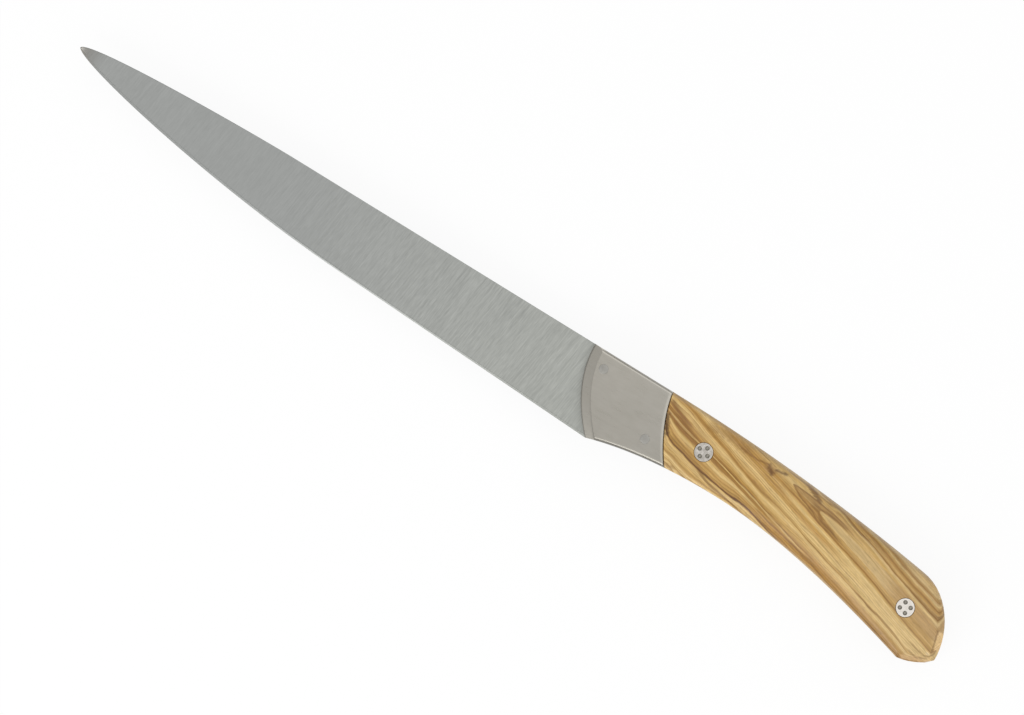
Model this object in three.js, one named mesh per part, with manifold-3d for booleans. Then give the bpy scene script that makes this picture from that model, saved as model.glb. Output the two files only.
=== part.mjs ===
// Fillet knife with a full tang, lying on its side.
// One steel blank makes the blade and the tang. Two steel bolsters on flush pins and two olive-wood
// scales on two-part bolts close over the tang from both sides.
// Millimetres. X runs back along the spine, Y up from the cutting edge to the spine, Z through the
// thickness, with the left side up. While the pieces are drawn, X = Y = 0 is where the bolsters'
// front meets the spine and Z = 0 is the middle of the tang.

import * as THREE from "three";
import { mergeVertices } from "three/addons/utils/BufferGeometryUtils.js";
import Module from "manifold-3d";

const wasm = await Module();
wasm.setup();

// Blade outline
const spineLength = 186.9; // bolsters to point, along the spine
const pointDrop = 5.65; // point below the line of the spine
const spineStraight = 111; // straight stretch of the spine
const spineEase = 13; // how gently the spine leaves that stretch
const noseRun = 0.5; // the nose's roundness: back from the point
const noseRise = 3.8; // and up from it
const heelDepth = 26.8; // spine to cutting edge at the heel
const heelSetback = 12.6; // heel behind the bolsters' front at the spine
const edgeStraight = 93; // straight stretch of the cutting edge, from the heel
const edgeRise = 3.9; // climb of that stretch towards the spine
const edgeEase = 50; // how gently the belly leaves that stretch
const bellyRun = 1.5; // the belly's last curve: back from the point
const bellyFall = 3.9; // and down from it

// Blade section
const stockThickness = 2.5; // steel blank, left whole at the tang
const grindThickness = 2.3; // spine of the ground blade at the bolsters
const pointThickness = 0.9; // spine just behind the point
const shoulderThickness = 0.35; // where the ground sides end in the sharpened bevel
const sharpHeight = 0.7; // height of the sharpened bevel
const sharpShare = 0.33; // most of the blade's width that it takes, near the point
const spineEasing = 0.2; // broken corners of the spine
const grindStep = 0.06; // tang left this much proud of the ground spine and heel
const grindTuck = 0.4; // full section of the ground blade ends this far ahead of the tang
const grindOverlap = 2; // and its root runs this far into the tang

// Handle outline
const handleLength = 142.8; // bolsters' front at the spine to the butt
const gripStart = 30; // the back of the handle starts to fall away here
const shoulderSetback = 16.8; // shoulder of the back, ahead of the butt
const shoulderDrop = 7; // and below the line of the spine
const shoulderRun = 10; // how far the shoulder keeps its direction
const buttDepth = 28.8; // lower end of the butt, below the line of the spine
const buttRise = 9.3; // how far the butt runs straight up from there
const buttCut = 2.1; // cut-off corner below the butt
const toeSetback = 10.6; // toe of the handle, ahead of the butt
const toeDepth = 34.15; // and below the line of the spine
const endBulge = 0.5; // the end's curve turns this far above the toe's depth
const waistReach = 57; // narrowest place of the belly, behind the bolsters' front
const waistDepth = 21; // and below the line of the spine
const waistFront = 25.7; // how gently the belly leaves the waist towards the heel
const waistRear = 29; // and towards the toe

// Handle section
const bolsterThickness = 13.5; // across both bolsters
const swellThickness = 17; // across both scales at the palm
const swellReach = 95; // the palm's place, behind the bolsters' front
const buttThickness = 14.4; // across both scales at the butt
const bolsterCorner = 1.3; // rounded long edges of the bolsters
const palmCornerWidth = 8; // rounded long edges of the scales at the palm, across
const palmCornerHeight = 5.5; // and through the thickness
const buttCorner = 2.2; // rounded edges of the scales at the butt
const facetStart = 0.62; // share of the way round the butt where its rounded edge starts to flatten
const facetFull = 0.85; // and from where it is a plain facet
const cornerShare = 0.4; // most of the handle's width that one rounded edge takes
const sideLand = 0.5; // flat side left beside the tang
const toeBevel = 2; // thickness lost in the bevel along the end of the handle

// Bolsters
const bolsterLength = 28.7; // along the spine
const rearLean = 0.19; // backward lean of the rear joint at the spine
const rearSweep = 8.9; // its further sweep back at the heel's depth
const frontBevel = 3.2; // width of the bevel along the front
const frontLand = 3.6; // upright face left below that bevel
const rearBevelWidth = 1.2; // broken edge along the rear joint
const rearBevelHeight = 0.45;
const bondLine = 0.2; // joint between bolster and scale

// Bolster pins
const pinDiameter = 3;
const frontPinDepth = 5.4; // below the line of the spine
const frontPinSetback = 5.8; // behind the bolsters' front
const rearPinDepth = 17.3; // below the line of the spine
const rearPinInset = 6.8; // ahead of the rear joint

// Handle bolts
const boltHeadDiameter = 6;
const boltBarrelDiameter = 4.4; // nut's barrel
const boltShankDiameter = 3; // screw's shank
const boltSeatHeight = 2.8; // seat of both heads, above the tang
const barrelReach = 1.5; // barrel past the tang, into the other scale
const boreHeight = 2; // blind end of the barrel's bore, above the tang
const shankEndGap = 0.5; // between the shank's end and that blind end
const headRoot = 0.5; // shank and barrel run this far into their heads
const frontBoltSetback = 14.7; // behind the joint with the bolster
const rearBoltSetback = 16.5; // ahead of the butt
const driveCircle = 3.4; // circle of the four drive holes
const driveDiameter = 1.45;
const driveDepth = 1.2;
const driveTip = 0.3; // cone at the bottom of a drive hole
const driveHoles = 4;
const frontScrewTurn = 76.7; // degrees that each head came to rest at
const rearScrewTurn = 28.7;
const frontNutTurn = 52;
const rearNutTurn = 9;

// Clearances
const pinFit = 0.1; // round a pin
const headFit = 0.15; // round a bolt head
const barrelFit = 0.1; // round a barrel
const shankFit = 0.15; // round a shank

// Fineness of the facets
const roundSegments = 32;
const driveSegments = 12;
const cornerSteps = 6;
const bladeSteps = 34;
const tipCrowding = 1.5; // above 1, the blade's sections crowd towards the point
const gripSteps = 18;
const buttSteps = 16;
const crossSteps = 20;
const fanStart = 0.76; // share of the belly behind which the sections fan round the butt
const endShares = [[0, 0.8], [0.25, 0.6]]; // shares of the end's curve that its last sections span
const cutMargin = 12; // how far a cutting body runs past what it cuts
const bevelOvershoot = 0.2; // how far a bevel's slope runs on above the face it ends in
const mergeDistance = 1e-4;

const lerp = THREE.MathUtils.lerp;
const smoothstep = THREE.MathUtils.smoothstep;
const tangTop = stockThickness / 2;
const boltSeat = tangTop + boltSeatHeight;
const boreEnd = tangTop + boreHeight;
const barrelEnd = tangTop + barrelReach;

// Outlines in the plane of the tang

function spineOutline() {
  const path = new THREE.Path();
  path.moveTo(-grindTuck, -grindStep);
  path.lineTo(-spineStraight, -grindStep);
  path.bezierCurveTo(
    -spineStraight - spineEase, -grindStep,
    -spineLength + noseRun, noseRise - pointDrop,
    -spineLength, -pointDrop,
  );
  return path;
}

function edgeOutline() {
  const run = Math.sqrt(edgeStraight ** 2 - edgeRise ** 2);
  const along = new THREE.Vector2(-run, edgeRise).divideScalar(edgeStraight);
  const heel = new THREE.Vector2(heelSetback - grindTuck, grindStep - heelDepth);
  const straightEnd = heel.clone().addScaledVector(along, edgeStraight);
  const ease = straightEnd.clone().addScaledVector(along, edgeEase);
  const path = new THREE.Path();
  path.moveTo(heel.x, heel.y);
  path.lineTo(straightEnd.x, straightEnd.y);
  path.bezierCurveTo(
    ease.x, ease.y,
    -spineLength + bellyRun, -pointDrop - bellyFall,
    -spineLength, -pointDrop,
  );
  return path;
}

const shoulderReach = handleLength - shoulderSetback;
const toeReach = handleLength - toeSetback;

function backY(x) {
  const fall = Math.max(0, x - gripStart) / (shoulderReach - gripStart);
  return -shoulderDrop * fall ** 2;
}

function backSlope(x) {
  return (-2 * shoulderDrop * Math.max(0, x - gripStart)) / (shoulderReach - gripStart) ** 2;
}

// The back of the handle from a place on its long curve, over the shoulder, to the foot of the butt
function backOutline(startX) {
  const middleX = (startX + shoulderReach) / 2;
  const path = new THREE.Path();
  path.moveTo(startX, backY(startX));
  path.quadraticCurveTo(
    middleX, backY(startX) + backSlope(startX) * (middleX - startX),
    shoulderReach, -shoulderDrop,
  );
  path.bezierCurveTo(
    shoulderReach + shoulderRun, -shoulderDrop + backSlope(shoulderReach) * shoulderRun,
    handleLength, -buttDepth + buttRise,
    handleLength, -buttDepth,
  );
  return path;
}

function bellyOutline() {
  const path = new THREE.Path();
  path.moveTo(heelSetback, -heelDepth);
  path.quadraticCurveTo(waistReach - waistFront, -waistDepth, waistReach, -waistDepth);
  path.quadraticCurveTo(waistReach + waistRear, -waistDepth, toeReach, -toeDepth);
  return path;
}

const belly = bellyOutline();

function bellyY(x) {
  let ahead = 0;
  let behind = 1;
  while (behind - ahead > mergeDistance) {
    const middle = (ahead + behind) / 2;
    if (belly.getPoint(middle).x < x) {
      ahead = middle;
    } else {
      behind = middle;
    }
  }
  return belly.getPoint(behind).y;
}

// Lines across the handle: where a bolster starts and ends, at a depth below the line of the spine

function bolsterFront(depth) {
  return heelSetback * (depth / heelDepth) ** 2;
}

function bolsterRear(depth) {
  return bolsterLength + rearLean * depth + rearSweep * (depth / heelDepth) ** 2;
}

function scaleFront(depth) {
  return bolsterRear(depth) + bondLine;
}

// Thickness of one side of the handle, and the rounding of its long edges

const flushReach = bolsterRear(heelDepth);

function alongHandle(x, atBolster, atPalm, atButt) {
  const towardsPalm = lerp(atBolster, atPalm, smoothstep(x, flushReach, swellReach));
  return lerp(towardsPalm, atButt, smoothstep(x, swellReach, handleLength));
}

function halfThickness(x) {
  return alongHandle(x, bolsterThickness, swellThickness, buttThickness) / 2;
}

// Pairs of points on the back and the belly that the sections of the handle are drawn between

function handlePairs() {
  const pairs = [];
  const bellySlope = (heelDepth - waistDepth) / (waistReach - waistFront - heelSetback);
  const startY = -heelDepth - bellySlope * (heelSetback + cutMargin);
  const start = new THREE.Vector2(-cutMargin, 0);
  pairs.push({ back: start, belly: new THREE.Vector2(-cutMargin, startY), facet: 0 });
  for (let step = 0; step <= gripSteps; step += 1) {
    const below = belly.getPoint((fanStart * step) / gripSteps);
    pairs.push({ back: new THREE.Vector2(below.x, backY(below.x)), belly: below, facet: 0 });
  }
  const back = backOutline(pairs.at(-1).back.x);
  for (let step = 1; step <= buttSteps; step += 1) {
    const share = step / buttSteps;
    const below = belly.getPoint(lerp(fanStart, 1, share));
    pairs.push({
      back: back.getPoint(share),
      belly: below,
      facet: smoothstep(share, facetStart, facetFull),
    });
  }
  return pairs;
}

// The end of the handle, from the cut corner below the butt round to the toe
function endPairs() {
  const corner = new THREE.Vector2(handleLength - buttCut, -buttDepth - buttCut);
  const toe = new THREE.Vector2(toeReach, -toeDepth);
  const bulge = new THREE.Vector2((corner.x + toe.x) / 2, endBulge - toeDepth);
  const curve = new THREE.QuadraticBezierCurve(corner, bulge, toe);
  return endShares.map(([back, belly]) => {
    return { back: curve.getPoint(back), belly: curve.getPoint(belly), facet: 1 };
  });
}

// Solids

function toSolid(geometry) {
  const bare = geometry.clone();
  bare.deleteAttribute("normal");
  bare.deleteAttribute("uv");
  const merged = mergeVertices(bare, mergeDistance);
  const corners = merged.index.array;
  const triangles = [];
  for (let at = 0; at < corners.length; at += 3) {
    const [a, b, c] = corners.slice(at, at + 3);
    if (a !== b && b !== c && c !== a) {
      triangles.push(a, b, c);
    }
  }
  const mesh = new wasm.Mesh({
    numProp: 3,
    vertProperties: new Float32Array(merged.attributes.position.array),
    triVerts: new Uint32Array(triangles),
  });
  return new wasm.Manifold(mesh);
}

function toGeometry(solid) {
  const mesh = solid.getMesh();
  const geometry = new THREE.BufferGeometry();
  geometry.setAttribute("position", new THREE.BufferAttribute(mesh.vertProperties, 3));
  geometry.setIndex(new THREE.BufferAttribute(mesh.triVerts, 1));
  geometry.computeVertexNormals();
  return geometry;
}

// A skin over rings of equally many points, closed by a flat cap or drawn together to a point.
// Seen from the last ring, the points of a ring run clockwise.
function loft(rings, apex) {
  const size = rings[0].length;
  const points = rings.flat();
  const faces = [];
  for (let ring = 0; ring + 1 < rings.length; ring += 1) {
    for (let side = 0; side < size; side += 1) {
      const next = (side + 1) % size;
      const near = ring * size;
      const far = near + size;
      faces.push(near + side, far + side, near + next);
      faces.push(near + next, far + side, far + next);
    }
  }
  const last = (rings.length - 1) * size;
  for (let side = 1; side + 1 < size; side += 1) {
    faces.push(0, side, side + 1);
  }
  if (apex) {
    points.push(apex);
    for (let side = 0; side < size; side += 1) {
      faces.push(last + side, points.length - 1, last + ((side + 1) % size));
    }
  } else {
    for (let side = 1; side + 1 < size; side += 1) {
      faces.push(last, last + side + 1, last + side);
    }
  }
  const geometry = new THREE.BufferGeometry().setFromPoints(points);
  geometry.setIndex(faces);
  return toSolid(geometry);
}

function cylinder(diameter, from, to, place) {
  const geometry = new THREE.CylinderGeometry(diameter / 2, diameter / 2, to - from, roundSegments);
  geometry.rotateX(Math.PI / 2);
  geometry.translate(place.x, place.y, (from + to) / 2);
  return toSolid(geometry);
}

// Everything behind a line across the handle, or ahead of it, seen from the side
function regionBeside(lineX, farX) {
  const shape = new THREE.Shape();
  const shallow = -cutMargin;
  const deep = toeDepth + cutMargin;
  shape.moveTo(farX, -shallow);
  for (let step = 0; step <= crossSteps; step += 1) {
    const depth = lerp(shallow, deep, step / crossSteps);
    shape.lineTo(lineX(depth), -depth);
  }
  shape.lineTo(farX, -deep);
  return shape;
}

// A region with an upright wall up to a height and a bevel above it, which keeps its slope past the top
function bevelledBody(shape, wallTop, bevelTop, bevelWidth) {
  const rise = bevelTop - wallTop;
  const stretch = (rise + bevelOvershoot) / rise;
  const geometry = new THREE.ExtrudeGeometry(shape, {
    depth: wallTop,
    bevelEnabled: true,
    bevelSegments: 1,
    bevelThickness: rise * stretch,
    bevelSize: bevelWidth * stretch,
    bevelOffset: -bevelWidth * stretch,
  });
  return toSolid(geometry);
}

function uprightBody(shape) {
  const depth = 2 * swellThickness;
  const geometry = new THREE.ExtrudeGeometry(shape, { depth, bevelEnabled: false });
  geometry.translate(0, 0, -swellThickness);
  return toSolid(geometry);
}

function pinHole(place) {
  return cylinder(pinDiameter + 2 * pinFit, -bolsterThickness, bolsterThickness, place);
}

function barrelHole(place) {
  return cylinder(boltBarrelDiameter + 2 * barrelFit, -swellThickness, swellThickness, place);
}

// Blade and tang, one piece of steel

function bladeRing(spine, edge, share) {
  const across = spine.clone().sub(edge);
  const width = across.length();
  across.normalize();
  const spineHalf = lerp(grindThickness, pointThickness, share) / 2;
  const shoulderHalf = shoulderThickness / 2;
  const sharp = Math.min(sharpHeight, width * sharpShare);
  const profile = [
    [0, 0],
    [sharp, -shoulderHalf],
    [width - spineEasing, -spineHalf],
    [width, spineEasing - spineHalf],
    [width, spineHalf - spineEasing],
    [width - spineEasing, spineHalf],
    [sharp, shoulderHalf],
  ];
  return profile.map(([rise, z]) => {
    const place = edge.clone().addScaledVector(across, rise);
    return new THREE.Vector3(place.x, place.y, z);
  });
}

function groundBlade() {
  const spine = spineOutline();
  const edge = edgeOutline();
  const rings = [grindOverlap, grindTuck].map((inside) => {
    const atSpine = new THREE.Vector2(inside, -inside);
    const atHeel = new THREE.Vector2(heelSetback + inside, inside - heelDepth);
    return bladeRing(atSpine, atHeel, 0);
  });
  for (let step = 0; step < bladeSteps; step += 1) {
    const share = 1 - (1 - step / bladeSteps) ** tipCrowding;
    rings.push(bladeRing(spine.getPoint(share), edge.getPoint(share), share));
  }
  return loft(rings, new THREE.Vector3(-spineLength, -pointDrop, 0));
}

function tangRing(pair) {
  return [
    new THREE.Vector3(pair.belly.x, pair.belly.y, -tangTop),
    new THREE.Vector3(pair.belly.x, pair.belly.y, tangTop),
    new THREE.Vector3(pair.back.x, pair.back.y, tangTop),
    new THREE.Vector3(pair.back.x, pair.back.y, -tangTop),
  ];
}

function blade(pairs, pins, bolts) {
  const behindFront = regionBeside(bolsterFront, handleLength + cutMargin);
  const tang = loft(pairs.map(tangRing)).intersect(uprightBody(behindFront));
  let solid = groundBlade().add(tang);
  pins.forEach((place) => {
    solid = solid.subtract(pinHole(place));
  });
  bolts.forEach((place) => {
    solid = solid.subtract(barrelHole(place));
  });
  return solid;
}

// One side of the handle in one body, from the tang's face up, before it is divided

// A long edge in section, from the side up to the top: a quarter ellipse, a flat facet, or in between
function cornerProfile(width, height, top, facet) {
  const points = [];
  for (let step = 0; step <= cornerSteps; step += 1) {
    const share = step / cornerSteps;
    const turn = share * (Math.PI / 2);
    points.push([
      width * lerp(1 - Math.cos(turn), share, facet),
      top - height * lerp(1 - Math.sin(turn), 1 - share, facet),
    ]);
  }
  return points;
}

function sideRing(pair, lost) {
  const x = (pair.back.x + pair.belly.x) / 2;
  const across = pair.back.clone().sub(pair.belly);
  const width = across.length();
  across.normalize();
  const top = halfThickness(x) - lost;
  const cornerWidth = Math.min(
    alongHandle(x, bolsterCorner, palmCornerWidth, buttCorner),
    width * cornerShare,
  );
  const cornerHeight = Math.min(
    alongHandle(x, bolsterCorner, palmCornerHeight, buttCorner),
    top - tangTop - sideLand,
  );
  const bellySide = [[0, tangTop], ...cornerProfile(cornerWidth, cornerHeight, top, 0)];
  const backSide = [[0, tangTop], ...cornerProfile(cornerWidth, cornerHeight, top, pair.facet)];
  const fromBack = backSide.map(([rise, z]) => [width - rise, z]).reverse();
  return [...bellySide, ...fromBack].map(([rise, z]) => {
    const place = pair.belly.clone().addScaledVector(across, rise);
    return new THREE.Vector3(place.x, place.y, z);
  });
}

function handleSide(pairs, ends) {
  const rings = pairs.map((pair) => sideRing(pair, 0));
  ends.forEach((pair, index) => {
    rings.push(sideRing(pair, (toeBevel * (index + 1)) / ends.length));
  });
  return loft(rings);
}

function bolster(side, pins) {
  const top = bolsterThickness / 2;
  const behindFront = regionBeside(bolsterFront, handleLength + cutMargin);
  const aheadOfRear = regionBeside(bolsterRear, -cutMargin);
  let solid = side.intersect(bevelledBody(behindFront, tangTop + frontLand, top, frontBevel));
  solid = solid.intersect(bevelledBody(aheadOfRear, top - rearBevelHeight, top, rearBevelWidth));
  pins.forEach((place) => {
    solid = solid.subtract(pinHole(place));
  });
  return solid;
}

function scale(side, bolts) {
  const behindJoint = regionBeside(scaleFront, handleLength + cutMargin);
  let solid = side.intersect(uprightBody(behindJoint));
  bolts.forEach((place) => {
    solid = solid.subtract(barrelHole(place));
    solid = solid.subtract(cylinder(boltHeadDiameter + 2 * headFit, boltSeat, swellThickness, place));
  });
  return solid;
}

// Bolts: a head trimmed level with the wood, four drive holes in it, and a shank or a barrel below

function driveHole(place, turn, index) {
  const angle = THREE.MathUtils.degToRad(turn) + (index * 2 * Math.PI) / driveHoles;
  const radius = driveDiameter / 2;
  const length = driveDepth + cutMargin;
  const profile = [
    new THREE.Vector2(0, 0),
    new THREE.Vector2(radius, driveTip),
    new THREE.Vector2(radius, length),
    new THREE.Vector2(0, length),
  ];
  const geometry = new THREE.LatheGeometry(profile, driveSegments);
  geometry.rotateX(Math.PI / 2);
  geometry.translate(
    place.x + (driveCircle / 2) * Math.cos(angle),
    place.y + (driveCircle / 2) * Math.sin(angle),
    halfThickness(place.x) - driveDepth,
  );
  return toSolid(geometry);
}

function boltHead(side, place, turn) {
  let head = cylinder(boltHeadDiameter, boltSeat, swellThickness, place).intersect(side);
  for (let index = 0; index < driveHoles; index += 1) {
    head = head.subtract(driveHole(place, turn, index));
  }
  return head;
}

function boltScrew(side, place, turn) {
  const shank = cylinder(boltShankDiameter, shankEndGap - boreEnd, boltSeat + headRoot, place);
  return boltHead(side, place, turn).add(shank);
}

function boltNut(side, place, turn) {
  const barrel = cylinder(boltBarrelDiameter, -barrelEnd, boltSeat + headRoot, place);
  const bore = cylinder(boltShankDiameter + 2 * shankFit, -barrelEnd - cutMargin, boreEnd, place);
  return boltHead(side, place, turn).add(barrel).subtract(bore);
}

// Assembly

const steel = { color: 0xa5a8a4, roughness: 0.36, metalness: 1 };
const warmSteel = { color: 0xb0aca2, roughness: 0.32, metalness: 1 };
const brightSteel = { color: 0xc8c8c6, roughness: 0.22, metalness: 1 };
const oliveWood = { color: 0xc39a5f, roughness: 0.5, metalness: 0 };

function node(name, solid, finish) {
  const mesh = new THREE.Mesh(toGeometry(solid), new THREE.MeshStandardMaterial(finish));
  mesh.name = name;
  return mesh;
}

const pairs = handlePairs();
const ends = endPairs();
const side = handleSide(pairs, ends);

const frontPin = new THREE.Vector2(bolsterFront(frontPinDepth) + frontPinSetback, -frontPinDepth);
const rearPin = new THREE.Vector2(bolsterRear(rearPinDepth) - rearPinInset, -rearPinDepth);
const pins = [frontPin, rearPin];

function onCentreLine(x) {
  return new THREE.Vector2(x, (backY(x) + bellyY(x)) / 2);
}

const frontBolt = onCentreLine(bolsterRear(waistDepth / 2) + frontBoltSetback);
const rearBolt = onCentreLine(handleLength - rearBoltSetback);
const bolts = [frontBolt, rearBolt];

function pin(place) {
  return cylinder(pinDiameter, -bolsterThickness / 2, bolsterThickness / 2, place);
}

const leftSide = new THREE.Group();
leftSide.add(
  node("left_bolster", bolster(side, pins), warmSteel),
  node("left_scale", scale(side, bolts), oliveWood),
  node("front_bolt_screw", boltScrew(side, frontBolt, frontScrewTurn), brightSteel),
  node("rear_bolt_screw", boltScrew(side, rearBolt, rearScrewTurn), brightSteel),
);

const rightSide = new THREE.Group();
rightSide.scale.z = -1;
rightSide.add(
  node("right_bolster", bolster(side, pins), warmSteel),
  node("right_scale", scale(side, bolts), oliveWood),
  node("front_bolt_nut", boltNut(side, frontBolt, frontNutTurn), brightSteel),
  node("rear_bolt_nut", boltNut(side, rearBolt, rearNutTurn), brightSteel),
);

const knife = new THREE.Group();
knife.add(
  node("blade", blade([...pairs, ...ends], pins, bolts), steel),
  node("front_bolster_pin", pin(frontPin), warmSteel),
  node("rear_bolster_pin", pin(rearPin), warmSteel),
  leftSide,
  rightSide,
);

// The origin lies under the middle of the knife, on the surface it rests on
const box = new THREE.Box3().setFromObject(knife);
const middle = box.getCenter(new THREE.Vector3());
knife.position.set(-middle.x, -middle.y, -box.min.z);

export default knife;
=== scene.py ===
# %% [markdown]
# # A fillet knife with an olive-wood handle
#
# The knife is a flat steel blank, ground to a long thin blade at the front and left whole as a tang at
# the back. Two steel bolsters and two wooden scales close over the tang, held by pins and bolts.
# This notebook models every piece by hand in Blender, around the same knife drawn in a CAD program.
# The first cell loads that drawing. No piece may grow out of it.

# %% Load the frame
import math

import bmesh
import bpy
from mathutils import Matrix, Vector


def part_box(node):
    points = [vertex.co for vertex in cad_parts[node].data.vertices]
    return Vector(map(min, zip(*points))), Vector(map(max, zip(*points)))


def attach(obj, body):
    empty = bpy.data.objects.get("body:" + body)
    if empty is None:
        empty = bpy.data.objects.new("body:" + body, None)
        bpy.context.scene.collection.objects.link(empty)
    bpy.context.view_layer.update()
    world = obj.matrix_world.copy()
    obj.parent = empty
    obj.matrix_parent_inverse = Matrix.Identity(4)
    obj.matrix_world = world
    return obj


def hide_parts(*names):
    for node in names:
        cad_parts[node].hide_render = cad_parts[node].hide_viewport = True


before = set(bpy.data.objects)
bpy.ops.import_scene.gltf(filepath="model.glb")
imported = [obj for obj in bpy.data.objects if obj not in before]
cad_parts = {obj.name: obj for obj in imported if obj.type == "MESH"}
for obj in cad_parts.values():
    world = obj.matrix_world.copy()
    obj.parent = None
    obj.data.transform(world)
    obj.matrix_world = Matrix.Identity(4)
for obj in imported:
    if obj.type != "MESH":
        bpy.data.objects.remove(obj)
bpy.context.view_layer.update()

# %% [markdown]
# ## One place to measure from
#
# A maker measures a knife from the spot where the bolsters' front meets the spine: X runs back along
# the spine, Y up to it and Z out of the side that lies on top. The sizes below are in millimetres from
# there. The blade in the drawing tells where that spot is, so that drawing and model stay together.

# %% The maker's zero, and millimetres to metres
HANDLE = 142.8
blade_low, blade_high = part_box("blade")
zero = Vector((blade_high.x - HANDLE / 1000, blade_high.y, (blade_low.z + blade_high.z) / 2))


def at(x, y, z):
    return zero + Vector((x, y, z)) / 1000


print("zero is at", tuple(zero))

# %% [markdown]
# ## The outlines
#
# Seen from above, the knife is a few long curves. Each is a straight line or a Bezier curve with two
# ends and two handles, the same thing that Blender's own curve tool draws. A point is asked for by its
# share of the way along, and the shares crowd towards the point of the blade, where the curve is tight.

# %% Curves of the blade
HEEL_BACK, HEEL_DEPTH = 12.6, 26.8
HEEL = Vector((HEEL_BACK, -HEEL_DEPTH))
TIP = Vector((-186.9, -5.65))
SPINE_TURN = Vector((-111, 0))
EDGE_TURN = HEEL + Vector((-92.918, 3.9))
STRAIGHT_STEPS, CURVED_STEPS, CROWDING = 10, 44, 1.5


def on_curve(curve, share):
    start, first, second, end = curve
    left = 1 - share
    return (start * left**3 + first * 3 * share * left**2
            + second * 3 * share**2 * left + end * share**3)


spine_curve = (SPINE_TURN, Vector((-124, 0)), Vector((-186.4, -1.85)), TIP)
edge_curve = (EDGE_TURN, EDGE_TURN + Vector((-49.956, 2.097)), Vector((-185.4, -9.55)), TIP)
blade_lines = []
for step in range(STRAIGHT_STEPS):
    share = step / STRAIGHT_STEPS
    blade_lines.append((Vector((0, 0)).lerp(SPINE_TURN, share), HEEL.lerp(EDGE_TURN, share)))
for step in range(CURVED_STEPS + 1):
    share = 1 - (1 - step / CURVED_STEPS) ** CROWDING
    blade_lines.append((on_curve(spine_curve, share), on_curve(edge_curve, share)))
print("blade:", len(blade_lines), "lines from spine to edge")

# %% [markdown]
# ## The curves of the handle
#
# The back of the handle falls away gently to a shoulder and turns down over the butt. The belly rises
# from the heel to a waist and drops to the toe. Lines drawn across, from back to belly, stay upright
# along the grip and fan out round the butt, as the staves of a barrel would.

# %% Curves of the handle
BACK_START, SHOULDER, SHOULDER_DROP = 30, 126.0, 7
WAIST, TOE = Vector((57, -21)), Vector((132.2, -34.15))
BUTT = Vector((HANDLE, -28.8))
CORNER = BUTT + Vector((-2.1, -2.1))
END_BULGE = 0.5
butt_curve = (Vector((SHOULDER, -SHOULDER_DROP)), Vector((136, -8.458)), Vector((HANDLE, -19.5)), BUTT)


def bent_line(start, handle, end, share):
    return start.lerp(handle, share).lerp(handle.lerp(end, share), share)


def back_y(x):
    return -SHOULDER_DROP * (max(0, x - BACK_START) / (SHOULDER - BACK_START)) ** 2


def front_belly(share):
    return bent_line(HEEL, Vector((31.3, WAIST.y)), WAIST, share)


def rear_belly(share):
    return bent_line(WAIST, Vector((86, WAIST.y)), TOE, share)


def belly_y(x):
    low, high = 0.0, 2.0
    for _ in range(40):
        middle = (low + high) / 2
        point = front_belly(middle) if middle < 1 else rear_belly(middle - 1)
        low, high = (middle, high) if point.x < x else (low, middle)
    return point.y


print("waist of the grip:", round(back_y(WAIST.x) - belly_y(WAIST.x), 2), "mm across")

# %% Lines from back to belly
FAN_START, SHOULDER_SHARE = 0.663, 0.43
GRIP_STEPS, FAN_STEPS = 40, 24


def grip_lines(start_x):
    end_x = rear_belly(FAN_START).x
    places = [start_x + (end_x - start_x) * step / GRIP_STEPS for step in range(GRIP_STEPS + 1)]
    return [(Vector((x, back_y(x))), Vector((x, belly_y(x)))) for x in places]


def butt_lines():
    lines = []
    start_x = rear_belly(FAN_START).x
    for step in range(1, FAN_STEPS + 1):
        share = step / FAN_STEPS
        if share < SHOULDER_SHARE:
            x = start_x + (SHOULDER - start_x) * share / SHOULDER_SHARE
            back = Vector((x, back_y(x)))
        else:
            back = on_curve(butt_curve, (share - SHOULDER_SHARE) / (1 - SHOULDER_SHARE))
        lines.append((back, rear_belly(FAN_START + (1 - FAN_START) * share)))
    return lines


def end_line(share_back, share_belly):
    bulge = Vector(((CORNER.x + TOE.x) / 2, TOE.y + END_BULGE))
    return bent_line(CORNER, bulge, TOE, share_back), bent_line(CORNER, bulge, TOE, share_belly)


print("handle:", GRIP_STEPS, "lines along the grip and", FAN_STEPS, "round the butt")

# %% [markdown]
# ## Lofting by hand
#
# Blade, tang and scales are all the same kind of shape: a section that changes as it travels. The tool
# for it is plain extrusion. A circle with as many corners as the section has is filled with a face,
# its corners are carried to the first section, and the face is extruded and carried from section to
# section. The solid is closed at every moment, so nothing needs patching afterwards.

# %% Helpers: clear the table, carry corners
def clear_selection():
    if bpy.context.mode != "OBJECT":
        bpy.ops.object.mode_set(mode="OBJECT")
    bpy.ops.object.select_all(action="DESELECT")


def take_up(piece):
    clear_selection()
    piece.select_set(True)
    bpy.context.view_layer.objects.active = piece


def open_piece(piece):
    take_up(piece)
    bpy.ops.object.mode_set(mode="EDIT")
    bpy.ops.mesh.select_mode(type="VERT")
    return bmesh.from_edit_mesh(piece.data)


def carry(corners, places):
    for corner, place in zip(corners, places):
        bpy.ops.mesh.select_all(action="DESELECT")
        corner.select = True
        bpy.ops.transform.translate(value=place - corner.co)


def report(piece):
    size = piece.dimensions * 1000
    print(piece.name, len(piece.data.polygons), "faces,", " x ".join(f"{s:.2f}" for s in size), "mm")


print("the table is clear")

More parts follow.
